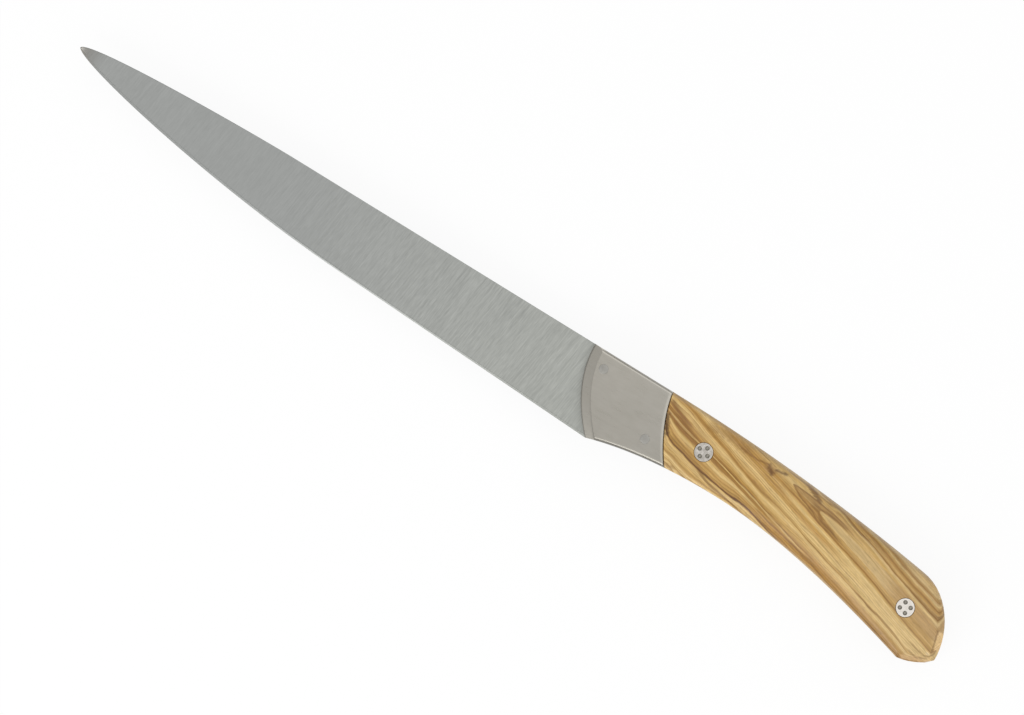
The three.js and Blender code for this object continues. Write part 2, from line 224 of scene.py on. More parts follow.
# %% Helper: loft from section to section
def loft(name, sections):
    clear_selection()
    bpy.ops.mesh.primitive_circle_add(vertices=len(sections[0]), radius=0.01, fill_type="NGON")
    piece = bpy.context.object
    piece.name = piece.data.name = name
    mesh = open_piece(piece)
    mesh.faces.ensure_lookup_table()
    face = mesh.faces[0]
    corners = list(face.verts)
    carry(corners, sections[0])
    for section in sections[1:]:
        face.select_set(True)
        bpy.ops.mesh.extrude_region_move(TRANSFORM_OT_translate={"value": (0, 0, 0)})
        mesh = bmesh.from_edit_mesh(piece.data)
        old = [corner.co.copy() for corner in corners]
        face = next(f for f in mesh.faces if f.select)
        fresh = {min(range(len(old)), key=lambda i: (old[i] - v.co).length): v for v in face.verts}
        corners = [fresh[i] for i in range(len(old))]
        carry(corners, section)
    bpy.ops.mesh.select_all(action="SELECT")
    bpy.ops.mesh.remove_doubles(threshold=1e-6)
    bpy.ops.mesh.normals_make_consistent(inside=False)
    bpy.ops.object.mode_set(mode="OBJECT")
    return piece


print("ready to loft")

# %% [markdown]
# ## Blade and tang
#
# One blank makes both. The ground sides of the blade run flat from a spine of 2.3 mm down to a thin
# shoulder, where a narrow sharpened bevel takes over, and the spine thins towards the point so that the
# blade bends. Behind the bolsters' front the steel keeps its full 2.5 mm. A plane with a Solidify
# modifier would give one thickness everywhere, so the blank is lofted instead. The section needs eight
# corners: two at the edge, two at the shoulder and four at the broken corners of the spine.

# %% Section of the blank
TANG_HALF, TANG_EASING = 1.25, 0.06
SPINE_HALF, SPINE_THINNING, SPINE_EASING = 1.15, 0.7, 0.2
EDGE_SHOULDER, SHARPENED, EDGE_HALF = 0.175, 0.7, 0.02


def blank_section(spine, edge, half, shoulder, sharp, easing):
    across = edge - spine
    width = across.length
    across.normalize()
    sharp = min(sharp, width / 3)
    easing = min(easing, width / 4)
    section = [(0, half - easing), (easing, half), (width - sharp, shoulder), (width, EDGE_HALF)]
    section += [(down, -z) for down, z in reversed(section)]
    places = [(spine + across * down, z) for down, z in section]
    return [at(place.x, place.y, z) for place, z in places]


def tang_section(back, belly):
    return blank_section(back, belly, TANG_HALF, TANG_HALF, TANG_EASING, TANG_EASING)


print("spine", 2 * SPINE_HALF, "mm, tang", 2 * TANG_HALF, "mm")

# %% Blade
END_SHARES = ((0, 0.8), (0.25, 0.6))
TANG_FRONT = 20
tang_lines = grip_lines(TANG_FRONT) + butt_lines() + [end_line(*shares) for shares in END_SHARES]
sections = [tang_section(back, belly) for back, belly in reversed(tang_lines)]
sections.append(tang_section(Vector((0.6, -0.06)), HEEL + Vector((0.6, 0.25))))
for spine, edge in blade_lines[:-1]:
    share = spine.length / TIP.length
    half = SPINE_HALF - SPINE_THINNING * share
    sections.append(blank_section(spine, edge, half, EDGE_SHOULDER, SHARPENED, SPINE_EASING))
sections.append([at(TIP.x, TIP.y, 0)] * len(sections[0]))
blade = loft("blade_and_tang", sections)
report(blade)

# %% [markdown]
# ## One side of the handle
#
# Bolster and scale are shaped together on the real knife, so that a thumb feels no step between them.
# They share one section: upright beside the tang, rounded over at both long edges, flat on top.
# The rounding changes on the way. It is a small quarter circle at the bolster and grows to a long
# quarter ellipse at the palm, where the wood also swells. At the butt it flattens to a plain chamfer.
# A Bevel modifier has one width all along, so the rounding is part of the section instead.

# %% Sizes along the handle
FLUSH, SWELL = 42.69, 95.0
THICKNESS = (13.5, 16.99, 14.4)
EDGE_REACH, EDGE_FALL = (1.3, 8, 2.2), (1.3, 5.5, 2.2)
TOP = THICKNESS[0] / 2


def ease(low, high, x):
    share = min(1, max(0, (x - low) / (high - low)))
    return share * share * (3 - 2 * share)


def along_handle(x, at_bolster, at_palm, at_butt):
    palm = at_bolster + (at_palm - at_bolster) * ease(FLUSH, SWELL, x)
    return palm + (at_butt - palm) * ease(SWELL, HANDLE, x)


def handle_top(x):
    return along_handle(x, *THICKNESS) / 2


print("thickness at bolster, palm and butt:",
      [round(2 * handle_top(x), 1) for x in (BACK_START, SWELL, HANDLE)])

# %% Section of the handle
CORNER_STEPS, UPRIGHT = 8, 0.5


def corner_points(reach, fall, top, chamfer):
    points = []
    for step in range(CORNER_STEPS + 1):
        share = step / CORNER_STEPS
        turn = math.pi / 2 * share
        round_point = Vector((reach * (1 - math.cos(turn)), top - fall * (1 - math.sin(turn))))
        flat_point = Vector((reach * share, top - fall * (1 - share)))
        points.append(round_point.lerp(flat_point, chamfer))
    return points


def handle_section(back, belly, lost=0.0, chamfer=0.0):
    across = back - belly
    width = across.length
    across.normalize()
    x = (back.x + belly.x) / 2
    top = handle_top(x) - lost
    reach = min(along_handle(x, *EDGE_REACH), 0.4 * width)
    fall = min(along_handle(x, *EDGE_FALL), top - TANG_HALF - UPRIGHT)
    belly_side = [Vector((0, TANG_HALF))] + corner_points(reach, fall, top, 0)
    back_side = [Vector((0, TANG_HALF))] + corner_points(reach, fall, top, chamfer)
    section = [(inwards, z) for inwards, z in belly_side]
    section += [(width - inwards, z) for inwards, z in reversed(back_side)]
    places = [(belly + across * inwards, z) for inwards, z in section]
    return [at(place.x, place.y, z) for place, z in places]


print("a section of the handle has", 2 * CORNER_STEPS + 4, "corners")

# %% [markdown]
# ## Bolsters
#
# A bolster is a plate of steel with a bevel that rises from the blade and a rear edge that is rolled
# where it meets the wood. Both follow curves that cross the lofted section aslant, which sections alone
# can't give. So the plate is lofted too long at both ends, and the waste is taken off with the Boolean
# modifier, as a saw and a file would take it: the front waste leans back above an upright land, and the
# rear waste curls over in a quarter ellipse.

# %% Lines across the handle
BOLSTER_TOP, JOINT_LEAN, JOINT_BEND = 28.7, 0.19, 8.9
LAND, BEVEL = 3.6, 3.2
ROLL_REACH, ROLL_FALL, ROLL_STEPS = 1.2, 0.45, 6


def bolster_front(depth):
    return HEEL.x * (depth / HEEL_DEPTH) ** 2


def bolster_rear(depth):
    return BOLSTER_TOP + JOINT_LEAN * depth + JOINT_BEND * (depth / HEEL_DEPTH) ** 2


def bevel_run(depth):
    slope = 2 * HEEL.x * depth / HEEL_DEPTH**2
    return BEVEL * math.sqrt(1 + slope**2)


print("bolster along the spine:", bolster_rear(0), "mm, at the heel's depth:",
      round(bolster_rear(HEEL_DEPTH) - HEEL.x, 2), "mm")

# %% Waste, and a saw to take it off
WASTE_TOP, WASTE_BOTTOM, WASTE_STEPS = 6, -40, 40
CURVE_TOP, CURVE_BOTTOM = -4, 38
WASTE_LOW, CLEAR_OF_TOP = 0.5, 12


def waste_section(line, far_x, z):
    section = [at(far_x, WASTE_TOP, z), at(far_x, WASTE_BOTTOM, z)]
    for step in range(WASTE_STEPS + 1):
        depth = CURVE_BOTTOM + (CURVE_TOP - CURVE_BOTTOM) * step / WASTE_STEPS
        section.append(at(line(depth), -depth, z))
    return section


def cut_away(piece, cutter):
    take_up(piece)
    saw = piece.modifiers.new("saw", "BOOLEAN")
    saw.operation = "DIFFERENCE"
    saw.solver = "EXACT"
    saw.object = cutter
    bpy.ops.object.modifier_apply(modifier=saw.name)
    bpy.data.objects.remove(cutter)


print("the saw is ready")

# %% [markdown]
# In front of the heel the belly's curve has no meaning, so there the plate just runs on in a straight
# line and the saw takes it away. The bevel's run is measured along the spine, and it is stretched a
# little where the front leans, so that the bevel has one width all along, as a file would leave it.

# %% Plate of the left bolster
PLATE_FRONT, PLATE_STEP, PLATE_LINES, RUN_ON = -3, 2, 26, 0.31
plate_lines = []
for step in range(PLATE_LINES):
    x = PLATE_FRONT + PLATE_STEP * step
    belly = belly_y(x) if x > HEEL.x else HEEL.y + RUN_ON * (x - HEEL.x)
    plate_lines.append((Vector((x, 0)), Vector((x, belly))))
left_bolster = loft("bolster_left", [handle_section(back, belly) for back, belly in plate_lines])
report(left_bolster)

# %% Bevel at its front
AHEAD, PAST_TOP = -20, 1.3
bevel_foot = TANG_HALF + LAND
front_waste = [waste_section(bolster_front, AHEAD, z) for z in (WASTE_LOW, bevel_foot)]
for share in (1, PAST_TOP):
    front_waste.append(waste_section(lambda depth: bolster_front(depth) + share * bevel_run(depth), AHEAD,
                                     bevel_foot + share * (TOP - bevel_foot)))
cut_away(left_bolster, loft("front_waste", front_waste))
report(left_bolster)

# %% Rolled edge at its rear
BEHIND, RUN_OUT = 70, 0.3
rear_waste = [waste_section(bolster_rear, BEHIND, WASTE_LOW)]
for step in range(ROLL_STEPS + 1):
    turn = math.pi / 2 * step / ROLL_STEPS
    inset = ROLL_REACH * (1 - math.cos(turn))
    rear_waste.append(waste_section(lambda depth: bolster_rear(depth) - inset, BEHIND,
                                    TOP - ROLL_FALL * (1 - math.sin(turn))))
rear_waste.append(waste_section(lambda depth: bolster_rear(depth) - ROLL_REACH - RUN_OUT, BEHIND,
                                TOP + RUN_OUT))
cut_away(left_bolster, loft("rear_waste", rear_waste))
report(left_bolster)

# %% [markdown]
# ## Scales
#
# Each scale is one block of olive wood. A sculpted block would do, but its rounding would never run as
# evenly as the bolster's, so the scale is lofted from the same section, along the whole grip and fanned
# round the butt, where the last sections sink towards the end. The front is then sawn to the bolster's
# curve, with a hair of room left for the glue, and a sloping cut gives the flat bevel across the end.

# %% Left scale
SCALE_FRONT, GLUE_ROOM = 24, 0.12
CHAMFER_START, CHAMFER_FULL = 0.62, 0.85
sections = [handle_section(back, belly) for back, belly in grip_lines(SCALE_FRONT)]
for number, (back, belly) in enumerate(butt_lines()):
    flattened = ease(CHAMFER_START, CHAMFER_FULL, (number + 1) / FAN_STEPS)
    sections.append(handle_section(back, belly, chamfer=flattened))
for shares, lost in zip(END_SHARES, (1, 2)):
    sections.append(handle_section(*end_line(*shares), lost=lost, chamfer=1))
left_scale = loft("scale_left", sections)

joint_waste = [waste_section(lambda depth: bolster_rear(depth) + GLUE_ROOM, 0, z)
               for z in (WASTE_LOW, CLEAR_OF_TOP)]
cut_away(left_scale, loft("joint_waste", joint_waste))
report(left_scale)

# %% Bevel across the end of the scale
END_SLOPE = ((1.2, 4.7), (-1.7, 7.2), (-2.9, 8.2))
SIDEWAYS, PAST_END = 20, 12
end_way = (BUTT - TOE).normalized()
outwards = Vector((end_way.y, -end_way.x))
end_waste = []
for out, z in END_SLOPE:
    near = [TOE - end_way * SIDEWAYS + outwards * out, BUTT + end_way * SIDEWAYS + outwards * out]
    far = [point + outwards * (PAST_END - out) for point in reversed(near)]
    end_waste.append([at(point.x, point.y, z) for point in near + far])
cut_away(left_scale, loft("end_waste", end_waste))
report(left_scale)

# %% [markdown]
# ## Holes for pins and bolts
#
# Two steel pins run through bolsters and tang, and two bolts through scales and tang. A bolt's head sits
# in a wide seat and its shank in a narrower hole below. The holes are drilled before the second side is
# made, with cylinders and the same saw, so that the mirrored pieces come out drilled.

# %% Holes in bolsters and scales
PINS = [Vector((6.31, -5.4)), Vector((28.9, -17.3))]
BOLTS = [Vector((46.76, -11.13)), Vector((126.3, -19.46))]
PIN_RADIUS, HEAD_RADIUS, BARREL_RADIUS = 1.5, 3, 2.2
PIN_ROOM, HEAD_ROOM, BARREL_ROOM = 0.02, 0.12, 0.1
SEAT = 4.05


def rod(name, place, radius, low, high, corners=64):
    clear_selection()
    middle = at(place.x, place.y, (low + high) / 2)
    bpy.ops.mesh.primitive_cylinder_add(vertices=corners, radius=radius / 1000,
                                        depth=(high - low) / 1000, location=middle)
    piece = bpy.context.object
    piece.name = piece.data.name = name
    bpy.ops.object.transform_apply(location=True, rotation=True, scale=True)
    return piece


for place in PINS:
    cut_away(left_bolster, rod("drill", place, PIN_RADIUS + PIN_ROOM, 0, CLEAR_OF_TOP))
for place in BOLTS:
    cut_away(left_scale, rod("drill", place, HEAD_RADIUS + HEAD_ROOM, SEAT, CLEAR_OF_TOP))
    cut_away(left_scale, rod("drill", place, BARREL_RADIUS + BARREL_ROOM, 0, CLEAR_OF_TOP))
report(left_bolster)
report(left_scale)

# %% [markdown]
# ## Pins
#
# A pin is a plain rod, ground level with the plates on both sides. Only a trace of a rim is left to see.
# It starts as a cylinder, and its two rims are picked by their height and broken with a tiny bevel. It
# stands four thousandths of a millimetre proud, so that pin and plate never lie in the same plane.

# %% Pins
PROUD, PIN_RIM = 0.004, 0.04


def pick_edges(mesh, wanted):
    bpy.ops.mesh.select_all(action="DESELECT")
    bpy.ops.mesh.select_mode(type="EDGE")
    for edge in mesh.edges:
        middle = ((edge.verts[0].co + edge.verts[1].co) / 2 - zero) * 1000
        way = (edge.verts[1].co - edge.verts[0].co).normalized()
        if wanted(middle, way):
            edge.select_set(True)


def round_rims(piece, width, segments, rim_height):
    mesh = open_piece(piece)
    pick_edges(mesh, lambda middle, way: abs(middle.z) > rim_height - 0.02 and abs(way.z) < 0.5)
    bpy.ops.mesh.bevel(offset=width / 1000, segments=segments, affect="EDGES")
    bpy.ops.object.mode_set(mode="OBJECT")


pins = []
for name, place in zip(("pin_front", "pin_rear"), PINS):
    pin = rod(name, place, PIN_RADIUS, -TOP - PROUD, TOP + PROUD)
    round_rims(pin, PIN_RIM, 2, TOP)
    report(pin)
    pins.append(pin)

# %% [markdown]
# ## Bolts
#
# A bolt is a screw from one side and a barrel nut from the other, each with a flush head that a face
# spanner turns by four small holes. A half starts as a cylinder for the head. Its lower face is inset
# and extruded to a shank or a barrel, and a barrel gets its bore by one more inset and an extrusion back
# up. The top is tilted to the slope of the wood, its rim is broken, and the holes are drilled last, with
# a cutter whose lower end is drawn to a point as a real drill's is.

# %% Helpers: pick faces, drill a spanner hole
DRIVE_RADIUS, DRIVE_DEPTH, DRILL_POINT, DRIVE_CIRCLE = 0.72, 0.9, 0.3, 1.7


def pick_lower_face(mesh):
    bpy.ops.mesh.select_all(action="DESELECT")
    bpy.ops.mesh.select_mode(type="FACE")
    for face in mesh.faces:
        if face.normal.z < -0.9:
            face.select_set(True)


def pull(height):
    bpy.ops.mesh.extrude_region_move(TRANSFORM_OT_translate={"value": (0, 0, height / 1000)})


def drill_hole(piece, place, top):
    drill = rod("drill", place, DRIVE_RADIUS, top - DRIVE_DEPTH, top + 2, 24)
    pick_lower_face(open_piece(drill))
    pull(-DRILL_POINT)
    bpy.ops.mesh.merge(type="CENTER")
    bpy.ops.object.mode_set(mode="OBJECT")
    cut_away(piece, drill)


print("spanner holes:", 2 * DRIVE_RADIUS, "mm wide on a circle of", 2 * DRIVE_CIRCLE, "mm")

# %% Bolt heads with their shanks and barrels
SHANK_RADIUS, BARREL_WALL, SHANK_LENGTH, BORE_DEPTH = 1.5, 0.55, 6.8, 6
HEAD_PROUD, HEAD_RIM = 0.02, 0.12


def bolt_half(name, place, turn, is_nut):
    top = handle_top(place.x)
    piece = rod(name, place, HEAD_RADIUS, SEAT, top + HEAD_PROUD)
    pick_lower_face(open_piece(piece))
    stem = BARREL_RADIUS if is_nut else SHANK_RADIUS
    bpy.ops.mesh.inset(thickness=(HEAD_RADIUS - stem) / 1000)
    pull(-SHANK_LENGTH)
    if is_nut:
        bpy.ops.mesh.inset(thickness=BARREL_WALL / 1000)
        pull(BORE_DEPTH)
    mesh = bmesh.from_edit_mesh(piece.data)
    rim = [v for v in mesh.verts if (v.co.z - zero.z) * 1000 > top - 0.1]
    carry(rim, [v.co + Vector((0, 0, handle_top((v.co.x - zero.x) * 1000) - top)) / 1000 for v in rim])
    bpy.ops.object.mode_set(mode="OBJECT")
    round_rims(piece, HEAD_RIM, 3, top - 0.15)
    for number in range(4):
        angle = math.radians(turn + 90 * number)
        drill_hole(piece, place + Vector((math.cos(angle), math.sin(angle))) * DRIVE_CIRCLE, top)
    return piece


screws = [bolt_half("bolt_screw_front", BOLTS[0], 76.7, False),
          bolt_half("bolt_screw_rear", BOLTS[1], 28.7, False)]
nuts = [bolt_half("bolt_nut_front", BOLTS[0], 52, True),
        bolt_half("bolt_nut_rear", BOLTS[1], 9, True)]
for piece in screws + nuts:
    report(piece)

# %% [markdown]
# ## The hidden side
#
# The other side of the handle is the same work in mirror image. A Mirror modifier would leave both sides
# in one mesh, but they are two pieces. So the finished bolster and scale are duplicated and flipped
# through the middle of the tang, and the nuts are flipped to where they belong. A flip turns a mesh
# inside out, so its normals are made to point outwards again.

# %% Mirror the second side
def flip_over(piece):
    open_piece(piece)
    bpy.ops.mesh.select_all(action="SELECT")
    bpy.ops.transform.resize(value=(1, 1, -1), center_override=zero)
    bpy.ops.mesh.normals_make_consistent(inside=False)
    bpy.ops.object.mode_set(mode="OBJECT")


def mirrored_copy(piece, name):
    take_up(piece)
    bpy.ops.object.duplicate()
    copy = bpy.context.object
    copy.name = copy.data.name = name
    flip_over(copy)
    return copy


right_bolster = mirrored_copy(left_bolster, "bolster_right")
right_scale = mirrored_copy(left_scale, "scale_right")
for nut in nuts:
    flip_over(nut)
print("right side:", right_bolster.name, right_scale.name, [nut.name for nut in nuts])

# %% [markdown]
# ## Into the frame
#
# Every modelled piece takes the place of one node of the drawing and moves with it. Each is also smoothed
# here: faces that meet at less than the given angle shade as one round surface, and above it the edge
# stays crisp. The blade's sharpened bevel turns only some ten degrees from the ground side, so its limit
# is low. On wood and bolsters the roundings are made of wider steps, and their limit is higher.

# %% Every piece takes the place of its CAD node
SMOOTH_BELOW = {"blade_steel": 6, "bolster_steel": 24, "pin_steel": 24, "bolt_steel": 12, "olive_wood": 24}
stands_for = [
    (blade, "blade", "blade_steel"),
    (left_bolster, "left_bolster", "bolster_steel"),
    (right_bolster, "right_bolster", "bolster_steel"),
    (pins[0], "front_bolster_pin", "pin_steel"),
    (pins[1], "rear_bolster_pin", "pin_steel"),
    (left_scale, "left_scale", "olive_wood"),
    (right_scale, "right_scale", "olive_wood"),
    (screws[0], "front_bolt_screw", "bolt_steel"),
    (screws[1], "rear_bolt_screw", "bolt_steel"),
    (nuts[0], "front_bolt_nut", "bolt_steel"),
    (nuts[1], "rear_bolt_nut", "bolt_steel"),
]
for piece, node_name, slot_name in stands_for:
    take_up(piece)
    bpy.ops.object.shade_smooth_by_angle(angle=math.radians(SMOOTH_BELOW[slot_name]))
    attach(piece, "root")
    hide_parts(node_name)
print(len(stands_for), "pieces ride on the frame")

# %% [markdown]
# ## Nodes in few words
#
# A material in Blender is a tree of nodes. The helpers below add one or two nodes each and hand back what
# comes out: a product, a soft step, a stretched noise, a coat of colour over another. A mask is a value
# from 0 to 1 that says where a coat goes. Everything is measured on Object coordinates, so the finish
# stays on the steel and the wood wherever the knife is put.

# %% Helpers: nodes that count
def add(tree, kind, feeds=None, **settings):
    made = tree.nodes.new("ShaderNode" + kind)
    for name, value in settings.items():
        setattr(made, name, value)
    for socket, value in (feeds or {}).items():
        if isinstance(value, bpy.types.NodeSocket):
            tree.links.new(value, made.inputs[socket])
        else:
            made.inputs[socket].default_value = value
    return made


def maths(tree, operation, first, second=0.0):
    return add(tree, "Math", {0: first, 1: second}, operation=operation).outputs[0]


def times(tree, first, *others):
    for other in others:
        first = maths(tree, "MULTIPLY", first, other)
    return first


def plus(tree, first, second):
    return maths(tree, "ADD", first, second)


def minus(tree, first, second):
    return maths(tree, "SUBTRACT", first, second)


def size_of(tree, value):
    return maths(tree, "ABSOLUTE", value)


print("nodes that count are ready")

# %% Helpers: masks and noise
def spread(tree, value, low, high, out_low, out_high):
    return add(tree, "MapRange", {0: value, 1: low, 2: high, 3: out_low, 4: out_high}).outputs[0]


def soft_step(tree, value, low, high):
    return add(tree, "MapRange", {0: value, 1: low, 2: high, 3: 0, 4: 1},
               interpolation_type="SMOOTHSTEP").outputs[0]


def soft_fall(tree, value, low, high):
    return minus(tree, 1, soft_step(tree, value, low, high))


def stripe(tree, value, start, full, fade, end):
    return minus(tree, soft_step(tree, value, start, full), soft_step(tree, value, fade, end))


def noise(tree, place, scale, detail=2):
    stretched = add(tree, "Mapping", {"Vector": place, "Scale": scale}).outputs[0]
    return add(tree, "TexNoise", {"Vector": stretched, "Scale": 1, "Detail": detail}).outputs[0]


print("masks and noise are ready")

# %% Helpers: colours
def linear(red, green, blue):
    shares = [value / 255 for value in (red, green, blue)]
    return [s / 12.92 if s <= 0.04045 else ((s + 0.055) / 1.055) ** 2.4 for s in shares] + [1]


def ramp(tree, factor, stops):
    made = add(tree, "ValToRGB", {0: factor})
    points = made.color_ramp.elements
    while len(points) < len(stops):
        points.new(0.5)
    for point, (place, colour) in zip(points, stops):
        point.position = place
        point.color = colour
    return made.outputs[0]


def two_tones(tree, factor, low, dark, high, light):
    return ramp(tree, factor, [(low, linear(*dark)), (high, linear(*light))])


def blend(tree, under, mask, over):
    return add(tree, "Mix", {0: mask, 6: under, 7: over}, data_type="RGBA").outputs[2]


def coat(tree, under, mask, strength, tone):
    return blend(tree, under, times(tree, mask, strength), linear(*tone))


def shaded(tree, colour, strength, richness=1.0):
    return add(tree, "HueSaturation", {"Saturation": richness, "Value": strength, "Color": colour}).outputs[0]


def toned(tree, colour, mask, strength):
    return shaded(tree, colour, spread(tree, mask, 0, 1, 1, strength))


print("colours are ready")

# %% Helpers: a new material, measured in millimetres
def new_material(name):
    material = bpy.data.materials.new(name)
    material.use_nodes = True
    tree = material.node_tree
    return material, tree, tree.nodes["Principled BSDF"]


def millimetres(tree):
    place = add(tree, "TexCoord").outputs["Object"]
    scaled = add(tree, "Mapping", {"Vector": place, "Scale": (1000, 1000, 1000),
                                   "Location": -zero * 1000}).outputs[0]
    return scaled, add(tree, "SeparateXYZ", {0: scaled}).outputs


print("material helpers are ready")

# %% [markdown]
# ## Blade steel
#
# The blade is ground on a belt that runs from spine to edge, a little aslant, and leaves fine streaks in
# that direction. A picture of scratches would blur close by, but a stretched noise never does: its
# coordinates are turned to the belt's slant, scaled hard along the blade and hardly across it. The same
# streaks tint the steel, change its roughness and lift its surface. They show more towards the heel, and
# there the colour is painted paler too, a painted reflection of the brighter light behind the handle. The
# sharpened bevel is thinner than its shoulder, so thickness finds it, and its colour is darkened, a painted
# shade that keeps it from shining as a white line. The last millimetres of the point are painted darker
# and brownish, a painted reflection.

# %% Streaks of the belt
BELT_SLANT = math.radians(7.4)
RELIEF, RELIEF_STRENGTH = 2e-5, 0.12


def finish_steel(tree, shader, colour, roughness, height):
    bumps = add(tree, "Bump", {"Strength": RELIEF_STRENGTH, "Distance": RELIEF, "Height": height}).outputs[0]
    tree.links.new(colour, shader.inputs["Base Color"])
    tree.links.new(roughness, shader.inputs["Roughness"])
    tree.links.new(bumps, shader.inputs["Normal"])
    shader.inputs["Metallic"].default_value = 1


blade_steel, tree, shader = new_material("ground_blade_steel")
scaled, (x, y, z) = millimetres(tree)
belt = add(tree, "Mapping", {"Vector": scaled, "Rotation": (0, 0, BELT_SLANT)}).outputs[0]
scratches = noise(tree, belt, (2.8, 0.35, 0.4), 3)
long_scratches = noise(tree, belt, (2.5, 0.06, 0.4), 3)
streaks = plus(tree, times(tree, scratches, 0.5), times(tree, long_scratches, 0.5))
clouds = noise(tree, scaled, (0.03, 0.05, 0.05), 2)
force = spread(tree, x, -115, -40, 0.4, 1)
both = plus(tree, times(tree, minus(tree, streaks, 0.5), force), times(tree, minus(tree, clouds, 0.5), 0.12))
tint = plus(tree, both, 0.5)
print("streaks:", len(tree.nodes), "nodes")

# %% Blade steel
# painted light: the heel's tones are paler than the tip's, a painted reflection of the brighter light behind
# the handle
at_tip = two_tones(tree, tint, 0.2, (145, 147, 145), 0.8, (183, 185, 183))
lit_heel_tone = two_tones(tree, tint, 0.2, (157, 159, 154), 0.8, (194, 196, 190))
colour = blend(tree, at_tip, spread(tree, x, -105, 0, 0, 1), lit_heel_tone)
# painted shade: the sharpened bevel's colour is darkened so that it doesn't reflect as a white line
honed_bevel_shade = soft_fall(tree, size_of(tree, z), EDGE_SHOULDER - 0.01, EDGE_SHOULDER + 0.015)
colour = toned(tree, colour, honed_bevel_shade, 0.66)
# painted reflection: the last millimetres of the point are coated darker and brownish
tip_reflection = soft_fall(tree, x, -188, -177)
colour = coat(tree, colour, tip_reflection, 0.75, (120, 115, 108))
finish_steel(tree, shader, colour, spread(tree, streaks, 0.3, 0.7, 0.34, 0.42), streaks)
print(blade_steel.name, len(tree.nodes), "nodes")

# %% [markdown]
# ## Bolster steel
#
# The bolsters are finished finer than the blade, to a warm satin with hardly a streak. Their long
# roundings are painted a shade darker, a painted shade where the steel turns away from the light, most of
# all at the belly, and the flat face is painted a little darker towards the belly too. How far a spot lies
# below the flat top tells where the rounding is, and that is enough for a mask: no image to paint and no
# unwrapping is needed. The upright sides below the rounding keep the plain satin.

# %% Bolster satin and its long edges
bolster_steel, tree, shader = new_material("satin_bolster_steel")
scaled, (x, y, z) = millimetres(tree)
satin = noise(tree, scaled, (0.25, 1.2, 0.5), 3)
clouds = noise(tree, scaled, (0.1, 0.1, 0.1), 2)
both = plus(tree, times(tree, satin, 0.3), times(tree, clouds, 0.7))
colour = two_tones(tree, both, 0.35, (178, 174, 164), 0.65, (183, 179, 170))
drop = minus(tree, TOP, size_of(tree, z))
depth_squared = times(tree, y, y)
from_front = minus(tree, x, times(tree, depth_squared, HEEL.x / HEEL_DEPTH**2))
rounded = times(tree, soft_step(tree, from_front, 3.4, 3.9), soft_fall(tree, drop, 1.25, 1.8))
upper_rounding_shade = times(tree, soft_step(tree, drop, 0.05, 0.3), rounded)
lower_rounding_shade = times(tree, soft_step(tree, drop, 0.5, 1.0), rounded)
belly_rounding_shade = times(tree, soft_fall(tree, y, -19, -14), rounded, soft_step(tree, drop, 0, 0.2))
# painted shade: the long roundings, most of all the belly edge, are darkened
colour = toned(tree, colour, upper_rounding_shade, 0.78)
colour = toned(tree, colour, lower_rounding_shade, 0.8)
colour = toned(tree, colour, belly_rounding_shade, 0.74)
# painted shade: the face is darker towards the belly
colour = shaded(tree, colour, spread(tree, y, -24, -3, 0.955, 1.02))
print("satin and edges:", len(tree.nodes), "nodes")

# %% [markdown]
# Across the plate there are three more marks, all painted light and shade: the bevel at the front is
# painted a touch paler, a painted shadow line lies where it meets the blade, and the rolled edge beside the
# wood gets a painted highlight. Their masks measure along the knife from the same curves that the plate
# was sawn to.

# %% Bolster steel
front_bevel_light = soft_fall(tree, from_front, 2.9, 3.3)
front_shadow_line = soft_fall(tree, from_front, 0.25, 0.5)
joint = plus(tree, times(tree, y, -JOINT_LEAN), times(tree, depth_squared, JOINT_BEND / HEEL_DEPTH**2))
from_joint = minus(tree, plus(tree, joint, BOLSTER_TOP), x)
rolled_edge_highlight = soft_fall(tree, from_joint, 0.7, 1.5)
# painted light and shade: a paler front bevel, a painted shadow line at the blade, a painted highlight on the
# rolled edge
colour = toned(tree, colour, front_bevel_light, 1.07)
colour = toned(tree, colour, front_shadow_line, 0.6)
colour = toned(tree, colour, rolled_edge_highlight, 1.16)
finish_steel(tree, shader, colour, spread(tree, satin, 0.3, 0.7, 0.27, 0.32), satin)
print(bolster_steel.name, len(tree.nodes), "nodes")

# %% [markdown]
# ## Pin steel
#
# The pins are cut from another bar, so they show as faint discs, a shade darker and less warm than the
# plate around them. They are filed in no one direction, so their noise is the same both ways.

# %% Pin steel
pin_steel, tree, shader = new_material("flush_pin_steel")
scaled, _ = millimetres(tree)
filed = noise(tree, scaled, (1.5, 1.5, 0.4), 3)
colour = two_tones(tree, filed, 0.35, (166, 164, 158), 0.65, (171, 169, 163))
finish_steel(tree, shader, colour, spread(tree, filed, 0.3, 0.7, 0.28, 0.34), filed)
print(pin_steel.name, len(tree.nodes), "nodes")

# %% [markdown]
# ## Bolt steel
#
# The bolt heads are polished. The spanner's holes are painted darker, a painted shade in the recesses, and
# their steel is duller, with a painted highlight as a paler spot at the bottom where the drill's point
# ended. Depth below the wood tells them apart.

# %% Bolt steel
bolt_steel, tree, shader = new_material("polished_bolt_steel")
scaled, (x, y, z) = millimetres(tree)
turned = noise(tree, scaled, (0.8, 0.8, 0.4), 3)
colour = two_tones(tree, turned, 0.35, (238, 231, 221), 0.65, (254, 248, 240))
front, rear = BOLTS[0].x, BOLTS[1].x
wood_top = spread(tree, x, front, rear, handle_top(front), handle_top(rear))
below_wood = minus(tree, wood_top, size_of(tree, z))
hole_shade_and_dullness = soft_step(tree, below_wood, 0.12, 0.3)
hole_bottom_highlight = soft_step(tree, below_wood, DRIVE_DEPTH + 0.08, DRIVE_DEPTH + 0.25)
